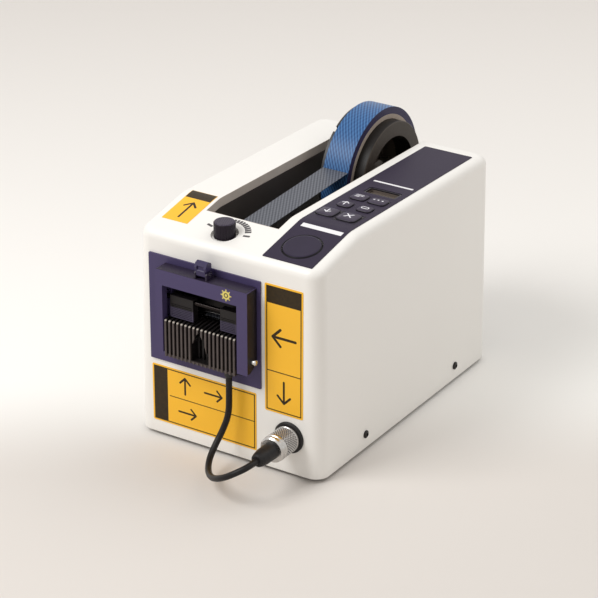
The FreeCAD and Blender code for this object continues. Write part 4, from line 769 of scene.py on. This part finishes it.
def key_marks(made, name, x, y):
    """The white mark of each key, drawn round its middle."""
    across = made.x - x
    along = made.y - y

    def line(start, end, width=0.75):
        return made.stroke(across, along, start, end, width)

    if name in ("down_key", "up_key"):
        way = -1 if name == "down_key" else 1
        tip = (0, 2.4 * way)
        return together(
            line((0, -2.4 * way), tip), line(tip, (-2.2, 0.4 * way)), line(tip, (2.2, 0.4 * way)))
    if name == "stop_key":
        return line((-2.2, -2.2), (2.2, 2.2), 0.9).either(line((-2.2, 2.2), (2.2, -2.2), 0.9))
    if name == "set_key":
        return line((-1.2, 0), (1.2, 0), 3.2) * (1 - line((-1.2, 0), (1.2, 0), 2.0))
    if name == "mode_key":
        return together(
            line((-2.6, 1.3), (2.6, 1.3), 0.6), line((-2.6, -0.2), (2.6, -0.2), 0.6),
            line((-2.6, -1.7), (0.4, -1.7), 0.6))
    return together(*[made.dot(across, along, (place, 0), 0.65) for place in (-3.0, 0, 3.0)])


for key_name in ("down_key", "stop_key", "up_key", "set_key", "mode_key", "count_key"):
    key_low, key_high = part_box(key_name)
    key_x = (key_low.x + key_high.x) / 2 / MM
    key_y = ((key_low.y + key_high.y) / 2 - front_face) / MM
    key_width = (key_high.x - key_low.x) / MM
    key_depth = (key_high.y - key_low.y) / MM
    key_violet = Finish("violet_of_" + key_name, paint(56, 49, 64), 0.36, specular=0.2)
    key_lift = key_violet.z - ridge_height - (key_violet.y - ridge_y) * math.tan(slope_rear)
    key_tone = key_violet.mixed(key_violet.cloud(5.0), paint(56, 49, 64), paint(70, 63, 79))
    # Low on each cap the sides are painted near black, as painted shade under the dome.
    key_tone = key_violet.mixed(((key_lift - 0.7) / 0.7).clipped(), paint(16, 13, 19), key_tone)
    mark = key_marks(key_violet, key_name, key_x, key_y)
    key_violet.set("Base Color", key_violet.mixed(mark, key_tone, paint(235, 233, 238)))
    key_violet.set("Roughness", 0.34 + mark * 0.12 + key_violet.cloud(2.0) * 0.06)
    key_violet.relief(key_violet.cloud(0.6) * 0.01)
    cap = pillow(key_name + "_cap", key_x, key_y, key_width, key_depth, -2.0, 0.85, 1.95)
    add_piece(key_name + "_cap", cap, key_violet, key_name + "_body", "key_plastic", key_name)


# The display is a smoked brown window let into the film over a small counter.  The unlit
# segments of its four digits just show through.

lens_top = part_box("display_lens")[1].z / MM
lens_smoke = Finish("lens_smoke", paint(84, 74, 64), 0.2, specular=0.3)
lx = lens_smoke.x
ly = lens_smoke.y
digit_foot = 109.6
digit_bars = (
    ((0, 0), (2.6, 0)), ((0, 2.7), (2.6, 2.7)), ((0, 5.4), (2.6, 5.4)), ((0, 0), (0, 2.7)),
    ((0, 2.7), (0, 5.4)), ((2.6, 0), (2.6, 2.7)), ((2.6, 2.7), (2.6, 5.4)))
segments = together(*[
    lens_smoke.stroke(lx - left, ly - digit_foot, start, end, 0.42)
    for left in (34.6, 39.2, 43.8, 48.4) for start, end in digit_bars])
lens_tone = lens_smoke.mixed(lens_smoke.cloud(20.0), paint(94, 84, 78), paint(108, 98, 90))
lens_tone = lens_smoke.mixed(segments * 0.35, lens_tone, paint(64, 57, 54))
# Down to 1.1 mm below the lens's top the pocket's walls are painted near black, as painted shade; below
# that they keep the window's smoked brown.
in_window = lens_smoke.panel(lx, ly, (32.6, 108.2), (54.0, 116.4)) * (lens_smoke.z < lens_top - 1.1)
lens_smoke.set("Base Color", lens_smoke.mixed(in_window, paint(30, 26, 33), lens_tone))
lens_smoke.set("Roughness", lens_smoke.cloud(3.0, 4.0) * 0.1 + 0.14)
dress(lens_smoke, "display_lens")
board_green = Finish("board_green", paint(38, 84, 58), 0.35)
tracks = (board_green.x + board_green.cloud(3.0) * 3.0).wave(1.6) > 0.62
board_green.set("Base Color", board_green.mixed(tracks * 0.5, paint(32, 74, 52), paint(70, 118, 76)))
board_green.relief(tracks * 0.03)
dress(board_green, "control_boards")


# The adjusting knob is a dark violet cap with a cross-cut top, pressed on a turning resistor's
# spindle.  It stands in a level round recess, and a plain printed scale runs round it.

knob_violet = Finish("knob_violet", paint(36, 29, 40), 0.28, specular=0.18)
knob_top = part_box("adjust_knob")[1].z / MM
hatch = (knob_violet.x + knob_violet.y).wave(1.5) * (knob_violet.x - knob_violet.y).wave(1.5)
# The cross-cut top is painted lighter than the sides, with its ridges lightest, as painted light falling on
# the top.
on_cap = knob_violet.z > knob_top - 0.6
cap_painted_light = knob_violet.mixed(hatch, paint(44, 37, 50), paint(92, 84, 102))
side_tone = knob_violet.mixed(knob_violet.cloud(9.0), paint(24, 18, 27), paint(34, 27, 38))
knob_violet.set("Roughness", knob_violet.cloud(13.0, 3.0) * 0.1 + 0.22 + on_cap * 0.12)
knob_violet.set("Base Color", knob_violet.mixed(on_cap, side_tone, cap_painted_light))
knob_violet.relief(knob_violet.cloud(0.5) * 0.006 + hatch * on_cap * 0.08)
dress(knob_violet, "adjust_knob")
nut_grey = moulded("nut_grey", paint(150, 147, 148), 0.34, grain=0.4, depth=0.01)
dress(nut_grey, "potentiometer")

scale_ink = Finish("scale_ink", paint(62, 58, 60), 0.55)
ink_tone = scale_ink.mixed(scale_ink.cloud(0.9, 3.0), paint(44, 40, 42), paint(92, 88, 90))
scale_ink.set("Base Color", ink_tone)


def modifier_mesh(name, tree, values):
    """Run a geometry tree on an empty object and keep its result as a plain mesh."""
    holder = bpy.data.objects.new(name, bpy.data.meshes.new(name))
    bpy.context.scene.collection.objects.link(holder)
    modifier = holder.modifiers.new(name, "NODES")
    modifier.node_group = tree
    for item in tree.interface.items_tree:
        if item.item_type == "SOCKET" and item.in_out == "INPUT" and item.name in values:
            modifier[item.identifier] = values[item.name]
    bpy.context.view_layer.update()
    result = holder.evaluated_get(bpy.context.evaluated_depsgraph_get())
    mesh = bpy.data.meshes.new_from_object(result)
    bpy.data.objects.remove(holder)
    mesh.name = name
    return mesh


def geometry_tree(name, inputs):
    """An empty geometry tree with named inputs; gives its recipe and the inputs as signals."""
    tree = bpy.data.node_groups.new(name, "GeometryNodeTree")
    tree.interface.new_socket("Geometry", in_out="OUTPUT", socket_type="NodeSocketGeometry")
    for label, kind in inputs:
        tree.interface.new_socket(label, in_out="INPUT", socket_type="NodeSocket" + kind)
    recipe = Recipe(tree)
    source = tree.nodes.new("NodeGroupInput")
    signals = [Signal(recipe, source.outputs[label]) for label, kind in inputs]
    return tree, recipe, signals


def close_tree(recipe, geometry, finish):
    """Every tree ends by making its copies real and giving them their finish."""
    real = recipe.node("GeometryNodeRealizeInstances", {}, {"Geometry": geometry})
    coated = recipe.node("GeometryNodeSetMaterial", {}, {"Geometry": real, "Material": finish.material})
    sink = recipe.tree.nodes.new("NodeGroupOutput")
    recipe.feed(sink.inputs["Geometry"], coated)


def scale_tree(finish):
    """Bars along an arc, each a little longer than the last."""
    tree, recipe, (count, radius, start, step, first, growth, width, thick) = geometry_tree("knob_scale", (
        ("Count", "Int"), ("Radius", "Float"), ("Start Angle", "Float"), ("Step Angle", "Float"),
        ("First Length", "Float"), ("Growth", "Float"), ("Bar Width", "Float"), ("Thickness", "Float")))
    index = recipe.node("GeometryNodeInputIndex", {}, {})
    points = recipe.node("GeometryNodeMeshLine", {}, {"Count": count, "Offset": (0, 0, 0)})
    angle = start + index * step
    across = angle.maths("COSINE", angle) * radius
    along = angle.maths("SINE", angle) * radius
    place = recipe.node("ShaderNodeCombineXYZ", {}, {"X": across, "Y": along})
    moved = recipe.node("GeometryNodeSetPosition", {}, {"Geometry": points, "Position": place})
    size = recipe.node("ShaderNodeCombineXYZ", {}, {"X": first, "Y": width, "Z": thick})
    bar = recipe.node("GeometryNodeMeshCube", {}, {"Size": size})
    spin = recipe.node("ShaderNodeCombineXYZ", {}, {"Z": angle})
    longer = recipe.node("ShaderNodeCombineXYZ", {}, {"X": index * growth + 1.0, "Y": 1.0, "Z": 1.0})
    bars = recipe.node("GeometryNodeInstanceOnPoints", {}, {
        "Points": moved, "Instance": bar, "Rotation": spin, "Scale": longer})
    close_tree(recipe, bars, finish)
    return tree


scale_middle = (-11.1, 15.3)
scale_bars = scale_tree(scale_ink)
for mark_name, count, start_angle, length in (
        ("knob_scale", 9, 97, 3.0), ("knob_scale_low", 1, 163, 4.6), ("knob_scale_high", 1, 11, 4.4)):
    scale_mesh = modifier_mesh(mark_name, scale_bars, {
        "Count": count, "Radius": 14.4 * MM, "Start Angle": math.radians(start_angle),
        "Step Angle": math.radians(-8.6), "First Length": length * MM, "Growth": 0.04,
        "Bar Width": 1.7 * MM, "Thickness": 0.06 * MM})
    for corner in scale_mesh.vertices:
        across, along, lift = corner.co / MM
        corner.co = on_top(scale_middle[0] + across, scale_middle[1] + along, 0.03 + lift)
    add_piece(mark_name, scale_mesh, scale_ink, "root", "knob_plastic")


# The sensor's lead ends in a round plug with a nose ring of bright nickel.  A knurled ring
# screws the plug onto a socket that a black rubber gasket seals to the casing's front.

ring_low, ring_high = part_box("coupling_ring")
plug_x = (ring_low.x + ring_high.x) / 2 / MM
plug_z = (ring_low.z + ring_high.z) / 2 / MM
ring_radius = (ring_high.x - ring_low.x) / 2 / MM
ring_front = (ring_low.y - front_face) / MM
ring_rear = (ring_high.y - front_face) / MM

plug_nickel = Finish("plug_nickel", paint(176, 173, 170), 0.26, metallic=1.0)
lathe_lines = plug_nickel.cloud(0.3, 2.0, (1, 0.25, 1))
off_axis = plug_nickel.distance(plug_nickel.x, plug_nickel.z, (plug_x, plug_z))
in_knurl = (plug_nickel.y > ring_front + 2.4) * (plug_nickel.y < ring_rear - 2.0)
# In the knurl's valleys the nickel is darker and rougher.
knurl_valleys = ((ring_radius - 0.12 - off_axis) / 0.16).clipped() * in_knurl
nickel_tone = plug_nickel.mixed(plug_nickel.cloud(4.0), paint(178, 176, 174), paint(206, 203, 200))
plug_nickel.set("Base Color", plug_nickel.mixed(knurl_valleys, nickel_tone, paint(66, 60, 56)))
plug_nickel.set("Roughness", lathe_lines * 0.14 + 0.18 + knurl_valleys * 0.3)
plug_nickel.relief(lathe_lines * 0.006)
dress(plug_nickel, "plug_body")
gasket_rubber = soft_rubber("gasket_rubber", paint(32, 31, 32), 0.5, 0.15)
dress(gasket_rubber, "panel_socket")
boot_rubber = soft_rubber("boot_rubber", paint(24, 23, 25), 0.42, 0.1)
dress(boot_rubber, "plug_boot")

ring_bore = ring_radius - 1.05
knurl_front = ring_front + 2.6
knurl_rear = ring_rear - 2.2
ring_profile = [
    (ring_front, ring_bore), (ring_front, ring_radius - 0.5), (ring_front + 0.5, ring_radius),
    (knurl_front - 0.5, ring_radius), (knurl_front - 0.2, ring_radius - 0.35),
    (knurl_front, ring_radius - 0.3), (knurl_rear, ring_radius - 0.3),
    (knurl_rear + 0.2, ring_radius - 0.35), (knurl_rear + 0.5, ring_radius),
    (ring_rear - 0.4, ring_radius), (ring_rear, ring_radius - 0.4), (ring_rear, ring_bore),
    (ring_front, ring_bore)]
ring_mesh = turned("coupling_ring_body", ring_profile, at(plug_x, 0, plug_z), Vector((0, 1, 0)), 96)
add_piece("coupling_ring_body", ring_mesh, plug_nickel, "ring_body", "plug_metal", "coupling_ring")


def knurl_tree(finish):
    """Rows of small blunt pyramids round a ring, every other row turned by half a step."""
    tree, recipe, (columns, rows, radius, start, step, size, height) = geometry_tree("ring_knurl", (
        ("Columns", "Int"), ("Rows", "Int"), ("Radius", "Float"), ("Start", "Float"), ("Row Step", "Float"),
        ("Point Size", "Float"), ("Point Height", "Float")))
    index = recipe.node("GeometryNodeInputIndex", {}, {})
    row_place = recipe.node("ShaderNodeCombineXYZ", {}, {"Y": start + index * step})
    line = recipe.node("GeometryNodeMeshLine", {}, {"Count": rows, "Offset": (0, 0, 0)})
    line = recipe.node("GeometryNodeSetPosition", {}, {"Geometry": line, "Position": row_place})
    ring = recipe.node("GeometryNodeMeshCircle", {}, {"Vertices": columns, "Radius": radius})
    half_turn = index.maths("MODULO", index, 2.0) * math.pi / columns
    turn = recipe.node("ShaderNodeCombineXYZ", {}, {"X": math.pi / 2, "Y": half_turn})
    rings = recipe.node("GeometryNodeInstanceOnPoints", {}, {
        "Points": line, "Instance": ring, "Rotation": turn})
    rings = recipe.node("GeometryNodeRealizeInstances", {}, {"Geometry": rings})
    position = recipe.node("GeometryNodeInputPosition", {}, {})
    here_x = recipe.node("ShaderNodeSeparateXYZ", {}, {0: position}, "X")
    here_z = recipe.node("ShaderNodeSeparateXYZ", {}, {0: position}, "Z")
    outward = recipe.node("ShaderNodeCombineXYZ", {}, {"Y": here_x.maths("ARCTAN2", here_x, here_z)})
    point = recipe.node("GeometryNodeMeshCone", {"fill_type": "NGON"}, {
        "Vertices": 4, "Radius Top": size * 0.55, "Radius Bottom": size, "Depth": height})
    points = recipe.node("GeometryNodeInstanceOnPoints", {}, {
        "Points": rings, "Instance": point, "Rotation": outward})
    close_tree(recipe, points, finish)
    return tree


knurl_rows = 11
knurl_mesh = modifier_mesh("coupling_ring_knurl", knurl_tree(plug_nickel), {
    "Columns": 30, "Rows": knurl_rows,
    "Radius": (ring_radius - 0.32) * MM, "Start": (knurl_front + 0.5) * MM,
    "Row Step": (knurl_rear - knurl_front - 1.0) / (knurl_rows - 1) * MM,
    "Point Size": 0.78 * MM, "Point Height": 0.32 * MM})
knurl_mesh.transform(Matrix.Translation(at(plug_x, 0, plug_z)))
add_piece("coupling_ring_knurl", knurl_mesh, plug_nickel, "ring_body", "plug_metal")


# The lead itself is a limp black sheath.  It leaves the sensor by its gland below the comb,
# hangs down the front, swings out just above the table and comes back up into the plug.

cord_points = [
    (7.0, -8.2, 62.6), (7.0, -8.2, 49.4), (6.2, -7.6, 36.0), (3.1, -9.6, 25.0), (1.4, -16.2, 16.4),
    (3.0, -25.2, 10.9), (8.8, -34.8, 8.8), (17.0, -43.2, 11.2), (25.0, -49.4, 15.5), (33.2, -52.2, 20.2),
    (40.2, -50.6, 24.6), (46.0, -44.6, 28.0), (46.0, -36.5, 28.0)]
cord_curve = bpy.data.curves.new("sensor_lead", "CURVE")
cord_curve.dimensions = "3D"
cord_curve.resolution_u = 16
cord_curve.bevel_depth = 2.05 * MM
cord_curve.bevel_resolution = 5
cord_curve.use_fill_caps = True
cord_line = cord_curve.splines.new("NURBS")
cord_line.points.add(len(cord_points) - 1)
for point, place in zip(cord_line.points, cord_points):
    point.co = (*at(*place), 1.0)
cord_line.order_u = 3
cord_line.use_endpoint_u = True
cord_sheath = Finish("cord_sheath", paint(26, 24, 25), 0.4, specular=0.2)
scuffs = cord_sheath.cloud(2.4, 5.0)
cord_sheath.set("Base Color", cord_sheath.mixed(scuffs, paint(18, 16, 17), paint(36, 33, 32)))
cord_sheath.set("Roughness", scuffs * 0.24 + 0.28)
cord_sheath.relief(cord_sheath.cloud(0.8) * 0.02)
cord_curve.materials.append(cord_sheath.material)
lead = bpy.data.objects.new("sensor_lead", cord_curve)
bpy.context.scene.collection.objects.link(lead)
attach(lead, "root")
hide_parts("sensor_cord")
at(*cord_points[0])


# At the rear a black moulded inlet takes the power lead, with a rocker switch above it.
# Inside, the supply board carries a transformer, two capacitors and a folded heat sink.

inlet_black = moulded("inlet_black", paint(38, 37, 38), 0.4, grain=0.6, depth=0.016, drift=0.12)
pins = inlet_black.panel(inlet_black.x, inlet_black.z, (37.9, 22.4), (52.1, 30.6)) * (inlet_black.y > 199.0)
pins = pins * (inlet_black.y < 209.5) * 0.8
inlet_black.set("Metallic", pins)
dress(inlet_black, "power_inlet")
rocker_black = moulded("rocker_black", paint(30, 29, 30), 0.28, grain=0.5, depth=0.006, drift=0.1)
rocker_middle = (45.0, 52.0)
rocker_x = rocker_black.x - rocker_middle[0]
rocker_z = rocker_black.z - rocker_middle[1]
bar_mark = rocker_black.stroke(rocker_x, rocker_z, (4.3, -1.4), (4.3, 1.4), 0.6)
from_ring = rocker_black.distance(rocker_x, rocker_z, (-4.3, 0))
ring_mark = (from_ring < 1.7) * (from_ring > 1.15)
rocker_tone = rocker_black.mixed(bar_mark.either(ring_mark), paint(30, 29, 30), paint(225, 225, 225))
rocker_black.set("Base Color", rocker_tone)
dress(rocker_black, "power_switch")
supply = Finish("supply_parts", paint(60, 92, 66), 0.45)
is_core = supply.panel(supply.x, supply.y, (-28.5, 103.0), (4.5, 141.0)) * (supply.z > 10.2)
is_tin = (supply.x > 6.0) * (supply.z > 10.2)
is_can = (supply.y > 160.0) * (supply.z > 10.2) * (supply.x < 5.0)
laminations = supply.x.wave(0.7)
supply_tone = supply.mixed(supply.cloud(4.0), paint(40, 80, 56), paint(70, 110, 76))
core_tone = supply.mixed(laminations, paint(70, 66, 62), paint(112, 106, 98))
supply_tone = supply.mixed(is_core, supply_tone, core_tone)
supply_tone = supply.mixed(is_can, supply_tone, paint(34, 38, 60))
supply.set("Base Color", supply.mixed(is_tin, supply_tone, paint(160, 162, 164)))
supply.set("Metallic", is_tin * 0.9)
supply.relief(laminations * is_core * 0.05)
dress(supply, "power_supply")
